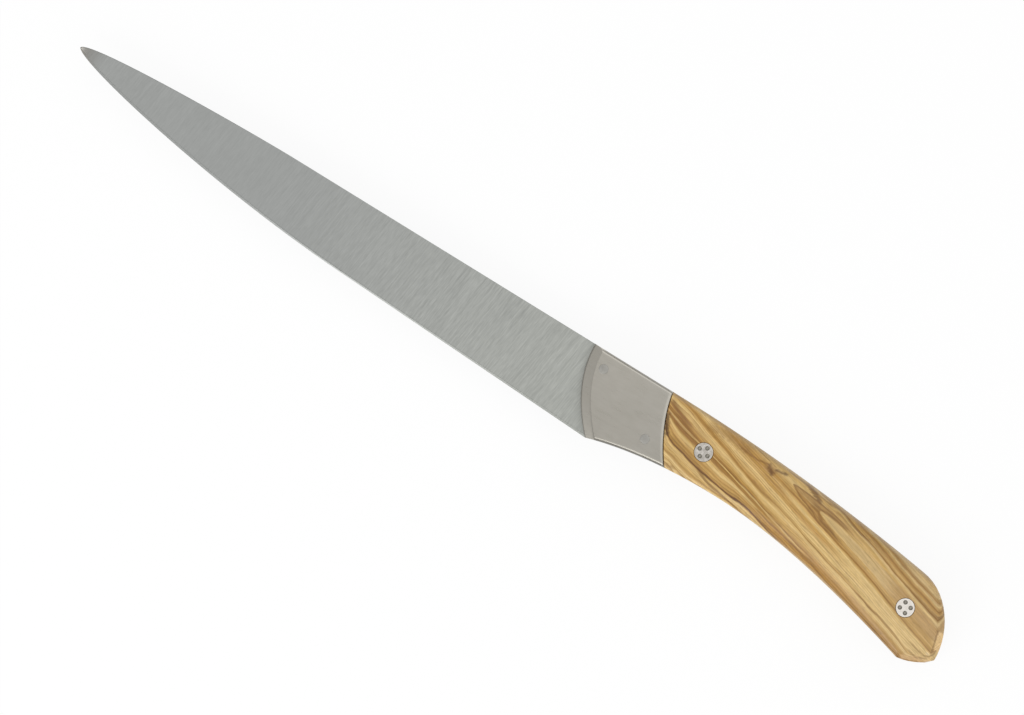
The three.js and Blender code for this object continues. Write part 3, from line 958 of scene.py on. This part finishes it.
# painted shade in the spanner holes and a painted highlight at their bottoms
colour = coat(tree, colour, hole_shade_and_dullness, 0.9, (118, 114, 103))
colour = coat(tree, colour, hole_bottom_highlight, 0.8, (205, 200, 188))
roughness = plus(tree, spread(tree, turned, 0.3, 0.7, 0.1, 0.18), times(tree, hole_shade_and_dullness, 0.35))
finish_steel(tree, shader, colour, roughness, turned)
print(bolt_steel.name, len(tree.nodes), "nodes")

# %% [markdown]
# ## Olive wood
#
# Olive wood is known by its figure: thin dark lines that run slightly across the handle, honey and amber
# bands between them, a small knot, and one pointed arch where the saw went through a growth ring.
# The lines aren't straight, so the pattern is drawn in the grain's own coordinates. Five guide lines are
# laid along the handle as float curves, each a list of places along the grain and across it. Between two
# guides the ring number counts up evenly, and every band and line is then just a colour at a ring number.

# %% Guide lines of the grain
GRAIN_TURN = math.radians(18.5)
ALONG_START, ALONG_END, ACROSS_LOW, ACROSS_HIGH = 20, 160, -10, 40
GUIDES = [
    (0, [(26, 4.0), (30, 3.2), (33, 1.2), (36, -0.8), (39, -1.4), (43, -0.95), (48, -0.65), (52, -0.2),
         (60, 1.4), (66, 2.6), (72, 3.4), (79, 3.9), (88, 5.0), (98, 6.1), (120, 7.6), (150, 9.2)]),
    (5, [(26, 4.6), (30, 4.0), (40, 4.3), (50, 5.3), (60, 6.0), (70, 6.95), (80, 7.95), (90, 9.0),
         (120, 10.6), (150, 11.4)]),
    (10, [(26, 9.6), (40, 10.4), (60, 10.5), (75, 11.0), (90, 11.7), (110, 12.5), (150, 13.6)]),
    (19, [(26, 15.5), (50, 16.5), (65, 17.6), (90, 18.9), (110, 19.4), (150, 19.2)]),
    (26, [(26, 19.5), (60, 21.5), (70, 23), (90, 25.8), (100, 26.2), (120, 26.5), (150, 27.4)]),
]


def guide_line(tree, along, points):
    made = add(tree, "FloatCurve", {"Value": spread(tree, along, ALONG_START, ALONG_END, 0, 1)})
    curve = made.mapping.curves[0]
    for number, (place, height) in enumerate(points):
        spot = ((place - ALONG_START) / (ALONG_END - ALONG_START),
                (height - ACROSS_LOW) / (ACROSS_HIGH - ACROSS_LOW))
        if number < 2:
            curve.points[number].location = spot
        else:
            curve.points.new(*spot)
    made.mapping.update()
    return spread(tree, made.outputs[0], 0, 1, ACROSS_LOW, ACROSS_HIGH)


print(len(GUIDES), "guide lines for the figure")

# %% [markdown]
# Below the top of the scale the saw cut deeper into the log, so the figure leans aside there and the lines
# turn over the edges and round the butt. A slow noise makes all of it waver a little.

# %% Ring numbers
SIDE_FROM, BUTT_FROM, BUTT_PULL, BUTT_MOST = 4.5, 7.1, 1.8, 6
LEAN, WAVER = -0.9, 1.7


def ring_number(tree, along, across):
    lines = [guide_line(tree, along, points) for _, points in GUIDES]
    total = None
    for number in range(len(GUIDES) - 1):
        first, last = number == 0, number == len(GUIDES) - 2
        steps = GUIDES[number + 1][0] - GUIDES[number][0]
        part = add(tree, "MapRange", {0: across, 1: lines[number], 2: lines[number + 1], 3: 0, 4: steps},
                   clamp=not (first or last)).outputs[0]
        if first:
            part = maths(tree, "MINIMUM", part, steps)
        if last:
            part = maths(tree, "MAXIMUM", part, 0)
        total = part if total is None else plus(tree, total, part)
    return total


wood, tree, shader = new_material("olive_wood")
scaled, (x, y, z) = millimetres(tree)
grain = add(tree, "Mapping", {"Vector": scaled, "Rotation": (0, 0, GRAIN_TURN)}).outputs[0]
along, across, _ = add(tree, "SeparateXYZ", {0: grain}).outputs
side_depth = maths(tree, "MAXIMUM", minus(tree, SIDE_FROM, z), 0)
butt_depth = maths(tree, "MINIMUM", times(tree, minus(tree, BUTT_FROM, z), BUTT_PULL), BUTT_MOST)
butt_depth = times(tree, butt_depth, soft_step(tree, x, 133, 138))
lean = times(tree, maths(tree, "MAXIMUM", side_depth, butt_depth), LEAN)
waver = minus(tree, noise(tree, grain, (0.075, 0.3, 0.3), 5), 0.5)
across = plus(tree, across, plus(tree, lean, times(tree, waver, WAVER)))
ring = ring_number(tree, along, across)
print("ring numbers:", len(tree.nodes), "nodes")

# %% [markdown]
# ## The bands
#
# Six tones are enough for the whole figure. Two lists say which tone lies at which ring number, one for
# the front of the handle and one for the rear, and the wood changes from one to the other in between.
# A colour ramp holds up to 32 stops, which is why there are two lists and not one longer one.

# %% Bands of colour
PALE, HONEY, AMBER = (213, 182, 121), (197, 160, 94), (181, 140, 72)
TAN, BROWN, DARK = (157, 115, 51), (121, 81, 30), (82, 48, 12)
FIRST_RING, LAST_RING = -6, 33
RINGS = LAST_RING - FIRST_RING
FRONT_BANDS = [
    (-6, PALE), (-3.6, PALE), (-2.8, HONEY), (-0.9, PALE), (-0.45, HONEY), (-0.12, DARK), (0.15, BROWN),
    (0.45, AMBER), (0.9, HONEY), (1.8, AMBER), (3.2, PALE), (3.7, HONEY), (4.2, TAN), (4.8, TAN),
    (5.1, HONEY), (5.3, PALE), (5.55, TAN), (6, TAN), (6.5, AMBER), (7, HONEY), (8.5, PALE), (9.1, HONEY),
    (9.6, TAN), (10.1, AMBER), (10.9, HONEY), (12.5, PALE), (14.5, HONEY), (16.3, AMBER), (18, AMBER),
    (20.5, HONEY), (24, AMBER), (33, HONEY),
]
REAR_BANDS = [
    (-6, PALE), (-0.6, PALE), (-0.1, BROWN), (0.35, TAN), (1.2, HONEY), (2, AMBER), (2.6, TAN),
    (2.9, BROWN), (3.3, AMBER), (3.9, TAN), (4.5, AMBER), (5.6, HONEY), (9.2, PALE), (10, HONEY),
    (11.2, PALE), (16.6, PALE), (17.4, HONEY), (18, TAN), (19.2, HONEY), (20, HONEY), (20.7, PALE),
    (24.4, HONEY), (25.2, PALE), (25.8, TAN), (26.3, HONEY), (27.1, AMBER), (27.5, TAN), (28, AMBER),
    (28.6, PALE), (29.5, TAN), (30.7, PALE), (33, AMBER),
]


def bands(tree, stops):
    share = spread(tree, maths(tree, "PINGPONG", minus(tree, ring, FIRST_RING), RINGS), 0, RINGS, 0, 1)
    return ramp(tree, share, [((number - FIRST_RING) / RINGS, linear(*tone)) for number, tone in stops])


rearward = soft_step(tree, plus(tree, along, times(tree, ring, 0.8)), 70, 96)
figure = blend(tree, bands(tree, FRONT_BANDS), rearward, bands(tree, REAR_BANDS))
print(len(FRONT_BANDS), "tones in front,", len(REAR_BANDS), "at the rear")

# %% [markdown]
# Some rings end in a line no wider than a hair. These are painted in brown over the bands, each with its
# own strength, by a second pair of ramps that hold masks instead of tones.

# %% Thin lines
LINE_RISE, LINE_FALL = 0.17, 0.25
FRONT_LINES = [(-4.3, 0.5), (-2.5, 0.6), (-1.4, 0.3), (0.75, 0.7), (1.7, 0.5), (2.6, 0.4), (4, 0.7),
               (4.85, 0.9), (5.75, 0.8), (6.8, 0.5)]
REAR_LINES = [(1.6, 0.5), (3.8, 0.6), (4.9, 0.5), (6.3, 0.6), (9.9, 0.6), (12.6, 0.3), (18, 0.35),
              (19.25, 0.35), (25.8, 0.5), (27.5, 0.3)]


def thin_lines(tree, lines):
    share = spread(tree, ring, FIRST_RING, LAST_RING, 0, 1)
    stops = []
    for number, strength in lines:
        for place, level in ((number - LINE_RISE, 0), (number, strength), (number + LINE_FALL, 0)):
            stops.append(((place - FIRST_RING) / RINGS, (level, level, level, 1)))
    return ramp(tree, share, stops)


thin = blend(tree, thin_lines(tree, FRONT_LINES), rearward, thin_lines(tree, REAR_LINES))
figure = blend(tree, figure, thin, linear(*BROWN))
print(len(FRONT_LINES), "thin lines in front,", len(REAR_LINES), "at the rear")

# %% [markdown]
# ## What crosses the bands
#
# Some marks belong to one place only, and are painted over the bands with masks. First come three broad
# patches: an amber one in the middle of the grip, and two golden ones along the belly.

# %% Amber and golden patches
amber_patch = times(tree, stripe(tree, ring, 13.2, 13.8, 15.2, 16.4), stripe(tree, along, 61, 70, 92, 106))
belly_gold = times(tree, stripe(tree, ring, 0, 0.6, 3.4, 4.6), stripe(tree, along, 66, 78, 102, 116))
toe_gold = times(tree, stripe(tree, ring, 3.4, 4.3, 6.6, 8.2), soft_step(tree, along, 102, 116))
figure = coat(tree, figure, amber_patch, 0.85, AMBER)
figure = coat(tree, figure, belly_gold, 0.65, (172, 127, 50))
figure = coat(tree, figure, toe_gold, 0.6, (174, 132, 68))
print("three patches,", len(tree.nodes), "nodes so far")

# %% [markdown]
# The arch is where the saw grazed a growth ring. Its outline is a parabola: the half width grows with the
# square root of the way past the tip. There are two, one inside the other, with brown between them, a
# darker rim outside, a flame at the inner tip and a grey heart that runs on to the butt as a brown tail.

# %% Arch
def arch(tree, tip, reach, half_width, axis, drift):
    past_tip = maths(tree, "SQRT", spread(tree, along, tip, tip + reach, 0, 1))
    centre = plus(tree, axis, times(tree, minus(tree, along, tip), drift))
    away = size_of(tree, minus(tree, ring, centre))
    return plus(tree, minus(tree, times(tree, past_tip, half_width), away), times(tree, waver, 2.4))


outer = arch(tree, 73.5, 22, 3.3, 20.8, 0)
inner = arch(tree, 85.5, 25, 2.2, 20.9, 0.04)
between = minus(tree, soft_step(tree, outer, 0, 0.4), soft_step(tree, inner, -0.2, 0.5))
between = times(tree, between, soft_fall(tree, along, 88, 103))
rim = times(tree, stripe(tree, outer, -0.1, 0.15, 0.35, 0.8), soft_fall(tree, along, 86, 100))
flame = times(tree, stripe(tree, inner, -1.1, -0.5, -0.3, 0.2), stripe(tree, along, 80, 84, 92, 99))
heart = soft_step(tree, inner, 0, 1)
tail = times(tree, stripe(tree, ring, 19, 20.5, 23.8, 25), stripe(tree, along, 112, 124, 138, 142))
figure = coat(tree, figure, between, 0.8, (160, 120, 62))
figure = coat(tree, figure, rim, 0.55, BROWN)
figure = coat(tree, figure, flame, 0.55, BROWN)
figure = coat(tree, figure, heart, 0.75, (198, 169, 117))
figure = coat(tree, figure, tail, 0.8, (178, 139, 80))
print("arch with rim, flame, heart and tail,", len(tree.nodes), "nodes so far")

# %% [markdown]
# Lines that leave their ring and run over to another are branches. Each is a short guide line of its own,
# given by places along the grain and the ring number there. Then come where it starts, is full, fades and
# ends along the grain, its width in rings, its tone and its strength. Later ones lie over earlier ones.

# %% Branches
BRANCHES = [
    ([(62, 5.8), (70, 5.6), (76, 5.5), (82, 4.9), (88, 4.2), (98, 3.7)], (62, 68, 88, 99), 0.6, BROWN, 0.45),
    ([(68, 3.2), (76, 2.8), (82, 2.7), (88, 2.7), (95, 2.1), (107, 1.8), (113, 2.4)],
     (69, 76, 104, 114), 0.6, BROWN, 0.55),
    ([(60, 5.3), (68.5, 5.4), (76.6, 4.7), (84, 3.9), (90, 3.4), (98, 3.3)],
     (60, 66, 86, 97), 0.5, PALE, 0.6),
    ([(62, -0.2), (70, 0), (76, 0.4), (82, 1)], (60, 66, 77, 84), 0.5, DARK, 0.5),
    ([(60, 9.6), (70, 9.8), (76, 10.1), (82, 10.4), (88, 10.1), (100, 10.4)],
     (60, 66, 104, 114), 0.8, BROWN, 0.28),
    ([(106, 10.4), (117, 10), (124, 10.5), (136, 10.2)], (106, 115, 128, 137), 0.6, BROWN, 0.6),
    ([(84, 25.2), (88, 25.5), (94, 25.4), (100, 25.6), (106, 25.8)], (84, 90, 99, 106), 0.5, BROWN, 0.5),
    ([(48, 0.2), (56, -1.2), (62, -2), (75, -2.7)], (49, 53, 64, 74), 0.6, BROWN, 0.7),
    ([(60, 22.5), (70, 23.6), (80, 24.6), (90, 25.4)], (66, 72, 84, 92), 0.5, BROWN, 0.6),
    ([(115, 25.9), (124, 26.1), (140, 26.2)], (118, 127, 150, 155), 0.6, BROWN, 0.5),
    ([(36, 1.0), (42, 0.9), (50, 0.8)], (36, 39, 46, 54), 1.3, BROWN, 0.35),
    ([(26, 4.9), (36, 4.7), (50, 4.6)], (28, 31, 38, 48), 0.9, BROWN, 0.4),
    ([(30, 7.6), (36, 6.7), (42, 6.3), (46, 6.1)], (28, 30, 35, 43), 1.2, BROWN, 0.75),
]


def branch(tree, figure, points, window, width, tone, strength):
    away = size_of(tree, minus(tree, ring, guide_line(tree, along, points)))
    mask = times(tree, soft_fall(tree, away, width * 0.2, width), stripe(tree, along, *window))
    return coat(tree, figure, mask, strength, tone)


for line in BRANCHES:
    figure = branch(tree, figure, *line)
print(len(BRANCHES), "branches,", len(tree.nodes), "nodes so far")

# %% [markdown]
# ## Strokes
#
# The last marks are drawn like strokes of a pencil, in millimetres from the maker's zero: the dark edge at
# the bolster, the knot and its two cracks, a streak below the spine, and the lines that turn round the
# butt. Two strokes are painted light and shade: a broad painted shade along the rounding of the back near
# the bolster, and a painted highlight along the bevel across the end. The distance to a line from point to
# point is a few vector nodes, and it fades with depth. Under the knot lies a soft brown cloud, and beside
# the butt's end one small tilted facet is painted paler than the rest, a painted light.

# %% Cloud round the knot, and paper to draw on
KNOT_ALONG, KNOT_RING, KNOT_LENGTH, KNOT_WIDTH = 65.3, 18.6, 3, 2.4
knot_x = maths(tree, "DIVIDE", minus(tree, along, KNOT_ALONG), KNOT_LENGTH)
knot_y = maths(tree, "DIVIDE", minus(tree, ring, KNOT_RING), KNOT_WIDTH)
knot = soft_fall(tree, plus(tree, times(tree, knot_x, knot_x), times(tree, knot_y, knot_y)), 0, 1)
figure = coat(tree, figure, knot, 0.5, (134, 100, 62))

sink = times(tree, maths(tree, "MAXIMUM", minus(tree, 3, z), 0), 0.4)
wavy = plus(tree, y, times(tree, waver, 0.8))
paper = add(tree, "CombineXYZ", {0: x, 1: wavy, 2: sink}).outputs[0]
ragged = minus(tree, noise(tree, scaled, (0.8, 1.6, 0.6), 3), 0.5)

# painted light: a tilted facet beside the butt's end is coated paler
past_facet = plus(tree, x, times(tree, plus(tree, y, 20.4), 0.31))
facet = times(tree, soft_step(tree, past_facet, 139.0, 139.4), stripe(tree, y, -26.6, -25.6, -20.8, -19.8),
              soft_step(tree, z, 2, 4))
figure = coat(tree, figure, facet, 0.85, (238, 199, 136))
print("knot and facet,", len(tree.nodes), "nodes so far")

# %% Helpers: a stroke of the pencil
def distance_to(tree, start, end):
    run = Vector((end[0] - start[0], end[1] - start[1], 0))
    from_start = add(tree, "VectorMath", {0: paper, 1: (*start, 0)}, operation="SUBTRACT").outputs[0]
    share = add(tree, "VectorMath", {0: from_start, 1: run / run.length_squared}, operation="DOT_PRODUCT")
    foot = add(tree, "VectorMath", {0: run, "Scale": spread(tree, share.outputs["Value"], 0, 1, 0, 1)},
               operation="SCALE").outputs[0]
    return add(tree, "VectorMath", {0: from_start, 1: foot}, operation="DISTANCE").outputs["Value"]


def stroke(tree, figure, points, width, tone, strength, fade_in, fade_out):
    nearest = None
    for start, end in zip(points, points[1:]):
        away = distance_to(tree, start, end)
        nearest = away if nearest is None else maths(tree, "MINIMUM", nearest, away)
    nearest = plus(tree, nearest, times(tree, ragged, width * 1.4))
    mask = soft_fall(tree, nearest, width * 0.1, width)
    first, last = points[0][0], points[-1][0]
    if fade_in:
        mask = times(tree, mask, soft_step(tree, x, first, first + fade_in))
    if fade_out:
        mask = times(tree, mask, soft_fall(tree, x, last - fade_out, last))
    return coat(tree, figure, mask, strength, tone)


print("the pencil is sharp")

# %% [markdown]
# A stroke is given by its points, its width, tone and strength, and the lengths over which it fades in
# and out along the knife.

# %% Strokes on the wood
STROKES = [
    ([(31.1, -7.0), (32.4, -10.0), (33.9, -12.4)], 1.1, (60, 34, 6), 0.75, 0, 0),
    ([(37.2, -20.5), (42.5, -20.8)], 1.1, (130, 92, 45), 0.5, 0, 2),
    # painted shade along the rounding of the back near the bolster
    ([(42, -2.6), (52, -3.0), (61, -3.4)], 2.2, (140, 104, 56), 0.5, 4, 4),
    ([(53.5, -3.3), (58, -3.8), (62, -4.15), (66.6, -3.6)], 0.55, BROWN, 0.55, 4, 0.6),
    ([(68.3, -4.0), (70.8, -3.8), (73.7, -3.2)], 0.75, DARK, 0.7, 1, 1.2),
    ([(66.0, -3.7), (67.4, -4.7), (68.6, -5.6)], 1.3, (98, 64, 26), 0.6, 0.6, 0),
    ([(67.7, -4.8), (68.5, -5.5)], 0.7, DARK, 0.45, 0, 0),
    ([(78.6, -1.9), (83, -3.6), (87.6, -5.7)], 1.3, (108, 72, 34), 0.75, 2, 2),
    ([(139.0, -20.4), (140.6, -26.9)], 0.45, (140, 98, 48), 0.5, 0, 0),
    ([(131, -27.3), (136.5, -28.8), (139.3, -29.35), (140.7, -28.7), (141.55, -27.4), (141.65, -25.8)],
     0.45, BROWN, 0.5, 5, 0),
    ([(139.6, -28.0), (140.1, -28.1)], 0.9, (232, 205, 158), 0.6, 0, 0),
    # painted highlight along the bevel across the end
    ([(133.8, -32.8), (137.4, -31.6), (141, -30)], 1.3, (220, 184, 134), 0.5, 0, 0),
    ([(131, -29.8), (135.8, -30.7), (137, -31.2), (141, -29.6)], 0.5, BROWN, 0.5, 5, 1),
]
for mark in STROKES:
    figure = stroke(tree, figure, *mark)
print(len(STROKES), "strokes,", len(tree.nodes), "nodes so far")

# %% [markdown]
# ## Late wood, fibres and pores
#
# Close by, the wood is full of finer marks. Each year ends in a narrow brown seam of late wood. The
# fraction of the ring number, bent by noise, climbs from 0 to 1 in every ring, and it is painted only near
# the top, more strongly at the front of the handle. Fibres are noise stretched along the grain, and pores
# are the tallest peaks of another, like tiny dashes. All of it follows the grain without any unwrapping.

# %% Late wood, fibres and pores
ringwise = add(tree, "CombineXYZ", {0: times(tree, along, 0.04), 1: ring, 2: times(tree, z, 0.1)}).outputs[0]
growth = noise(tree, ringwise, (1, 1.6, 1), 5)
year = maths(tree, "FRACT", plus(tree, times(tree, ring, 1.1), times(tree, growth, 1.8)))
good_years = spread(tree, noise(tree, ringwise, (0.6, 0.25, 1), 2), 0.38, 0.62, 0, 1)
late_wood = times(tree, stripe(tree, year, 0.45, 0.92, 0.92, 1), good_years,
                  spread(tree, x, 80, 105, 0.58, 0.34))
figure = shaded(tree, figure, spread(tree, x, 80, 105, 1.05, 1.02))
figure = blend(tree, figure, late_wood, linear(132, 84, 38))

fibres = noise(tree, grain, (0.13, 2.3, 1), 4)
pores = soft_step(tree, noise(tree, grain, (0.5, 3, 2), 2), 0.62, 0.72)
flecks = noise(tree, grain, (0.45, 2, 1), 4)
figure = shaded(tree, figure, spread(tree, growth, 0.3, 0.7, 0.88, 1.08),
                spread(tree, growth, 0.3, 0.7, 1.06, 0.96))
figure = shaded(tree, figure, spread(tree, fibres, 0.3, 0.7, 0.88, 1.11), spread(tree, x, 100, 132, 1, 0.94))
figure = toned(tree, figure, pores, 0.84)
figure = shaded(tree, figure, spread(tree, flecks, 0.35, 0.65, 0.92, 1.05))
print("late wood, fibres and pores,", len(tree.nodes), "nodes so far")

# %% [markdown]
# ## Painted shade and reflection, and polish
#
# Along the back the rounding is painted greyer, a painted shade where the wood turns away from the light,
# and the lower rounding of the palm is painted paler, a painted reflection of the white table. Both are
# thin coats over everything else. The polish is an oiled one, neither matt nor glossy: fibres change the
# roughness, and the pores are pressed into the surface.

# %% Painted shade, painted reflection and polish
fall = maths(tree, "MAXIMUM", minus(tree, x, BACK_START), 0)
back_line = times(tree, times(tree, fall, fall), -SHOULDER_DROP / (SHOULDER - BACK_START) ** 2)
spine_rounding_shade = soft_fall(tree, minus(tree, back_line, y), 0.2, 1.7)
palm_rounding_reflection = times(tree, stripe(tree, size_of(tree, z), 3.0, 3.9, 4.2, 5.3),
                 stripe(tree, x, 64, 74, 108, 122), soft_fall(tree, y, -19, -16))
# painted shade on the back's rounding and a painted reflection on the palm's lower rounding
figure = coat(tree, figure, spine_rounding_shade, 0.58, (172, 151, 120))
figure = coat(tree, figure, palm_rounding_reflection, 0.45, (205, 184, 150))
tree.links.new(figure, shader.inputs["Base Color"])
tree.links.new(spread(tree, fibres, 0.3, 0.7, 0.34, 0.46), shader.inputs["Roughness"])
surface = minus(tree, times(tree, fibres, 0.4), pores)
pressed = add(tree, "Bump", {"Strength": 0.2, "Distance": 4e-5, "Height": surface}).outputs[0]
tree.links.new(pressed, shader.inputs["Normal"])
shader.inputs["Specular IOR Level"].default_value = 0.5
print("wood:", len(tree.nodes), "nodes")

# %% [markdown]
# ## Finishes onto pieces
#
# Five finishes serve eleven pieces. Each piece gets its one by the name of its slot.

# %% Finishes onto pieces
finishes = {"blade_steel": blade_steel, "bolster_steel": bolster_steel, "pin_steel": pin_steel,
            "bolt_steel": bolt_steel, "olive_wood": wood}
for piece, node_name, slot_name in stands_for:
    piece.data.materials.clear()
    piece.data.materials.append(finishes[slot_name])
print(len(finishes), "finishes on", len(stands_for), "pieces")

# %% [markdown]
# ## Floor
#
# The knife lies on a plain white table. To the camera, and in the steel's reflections, the table mostly
# glows in its own white, so that the picture has a white ground without more light on the knife. The rest
# of it stays an ordinary matt surface, and that part keeps the knife's soft shadow.

# %% Floor
TABLE_SIZE, TABLE_WHITE, TABLE_GLOW = 60, 0.95, 0.9
clear_selection()
bpy.ops.mesh.primitive_plane_add(size=TABLE_SIZE)
floor = bpy.context.object
floor.name = "floor"
white, tree, shader = new_material("white_table")
shader.inputs["Base Color"].default_value = (TABLE_WHITE, TABLE_WHITE, TABLE_WHITE, 1)
shader.inputs["Roughness"].default_value = 0.9
shader.inputs["Specular IOR Level"].default_value = 0
ray = add(tree, "LightPath").outputs
seen = maths(tree, "MAXIMUM", ray["Is Camera Ray"],
             maths(tree, "MAXIMUM", ray["Is Glossy Ray"], ray["Is Transmission Ray"]))
glow = add(tree, "Emission", {"Color": (1, 1, 1, 1), "Strength": 1.0}).outputs[0]
mixed = add(tree, "MixShader", {0: times(tree, seen, TABLE_GLOW), 1: shader.outputs[0], 2: glow})
tree.links.new(mixed.outputs[0], tree.nodes["Material Output"].inputs["Surface"])
floor.data.materials.append(white)
print("table of", TABLE_SIZE, "m in", white.name)

# %% [markdown]
# ## Light
#
# The light is a white tent: even from nearly everywhere, a little dimmer near the horizon and straight
# above, where the camera looks through a hole in the cloth. A world with a ramp over the angle from the
# zenith is such a tent. It is brighter behind the handle than before the point, which gives the steel its
# slow change of tone, together with the paler colour painted towards the blade's heel. Two weak area lamps
# at the sides pick out the rounded edges.

# %% Light
SKY = [(0, 0.55), (3, 0.55), (5, 1.05), (45, 1.08), (62, 0.95), (78, 0.55), (90, 0.4)]
SKY_STRENGTH = 0.77
scene = bpy.context.scene
world = bpy.data.worlds.new("studio")
scene.world = world
world.use_nodes = True
tree = world.node_tree
backwards, _, height = add(tree, "SeparateXYZ", {0: add(tree, "TexCoord").outputs["Generated"]}).outputs
from_zenith = spread(tree, maths(tree, "ARCCOSINE", height), 0, math.pi / 2, 0, 1)
sky = ramp(tree, from_zenith, [(angle / 90, (level, level, level, 1)) for angle, level in SKY])
sky = shaded(tree, sky, spread(tree, backwards, -1, 1, 0.86, 1.26))
tree.links.new(sky, tree.nodes["Background"].inputs["Color"])
tree.nodes["Background"].inputs["Strength"].default_value = SKY_STRENGTH


def soft_lamp(name, place, energy, size):
    bpy.ops.object.light_add(type="AREA", location=place)
    lamp = bpy.context.object
    lamp.name = name
    lamp.data.energy = energy
    lamp.data.size = size
    lamp.rotation_euler = (-lamp.location).to_track_quat("-Z", "Y").to_euler()


soft_lamp("window_light", (-0.2, -1.0, 0.8), 6, 0.9)
soft_lamp("fill_light", (0.2, 1.0, 0.9), 1.2, 0.9)
print("a sky of", len(SKY), "tones and two soft lamps")

# %% [markdown]
# ## Camera
#
# The camera looks straight down from far above with a long lens, so that nothing is drawn together by
# perspective. It is turned so that the knife runs from the upper left to the lower right of the picture.
# Its height follows from the lens and from the width that the picture shows.

# %% Camera
PHOTO_TURN = math.radians(31.663)
LENS, SENSOR, FRAME_WIDTH = 500, 36, 0.3222
camera_height = FRAME_WIDTH * LENS / SENSOR
bpy.ops.object.camera_add(location=(0.00195, -0.000325, zero.z + camera_height), rotation=(0, 0, PHOTO_TURN))
camera = bpy.context.object
camera.data.lens = LENS
camera.data.sensor_width = SENSOR
camera.data.clip_end = 100
scene.camera = camera
scene.view_settings.view_transform = "Standard"
print("camera", round(camera_height, 2), "m above the knife")
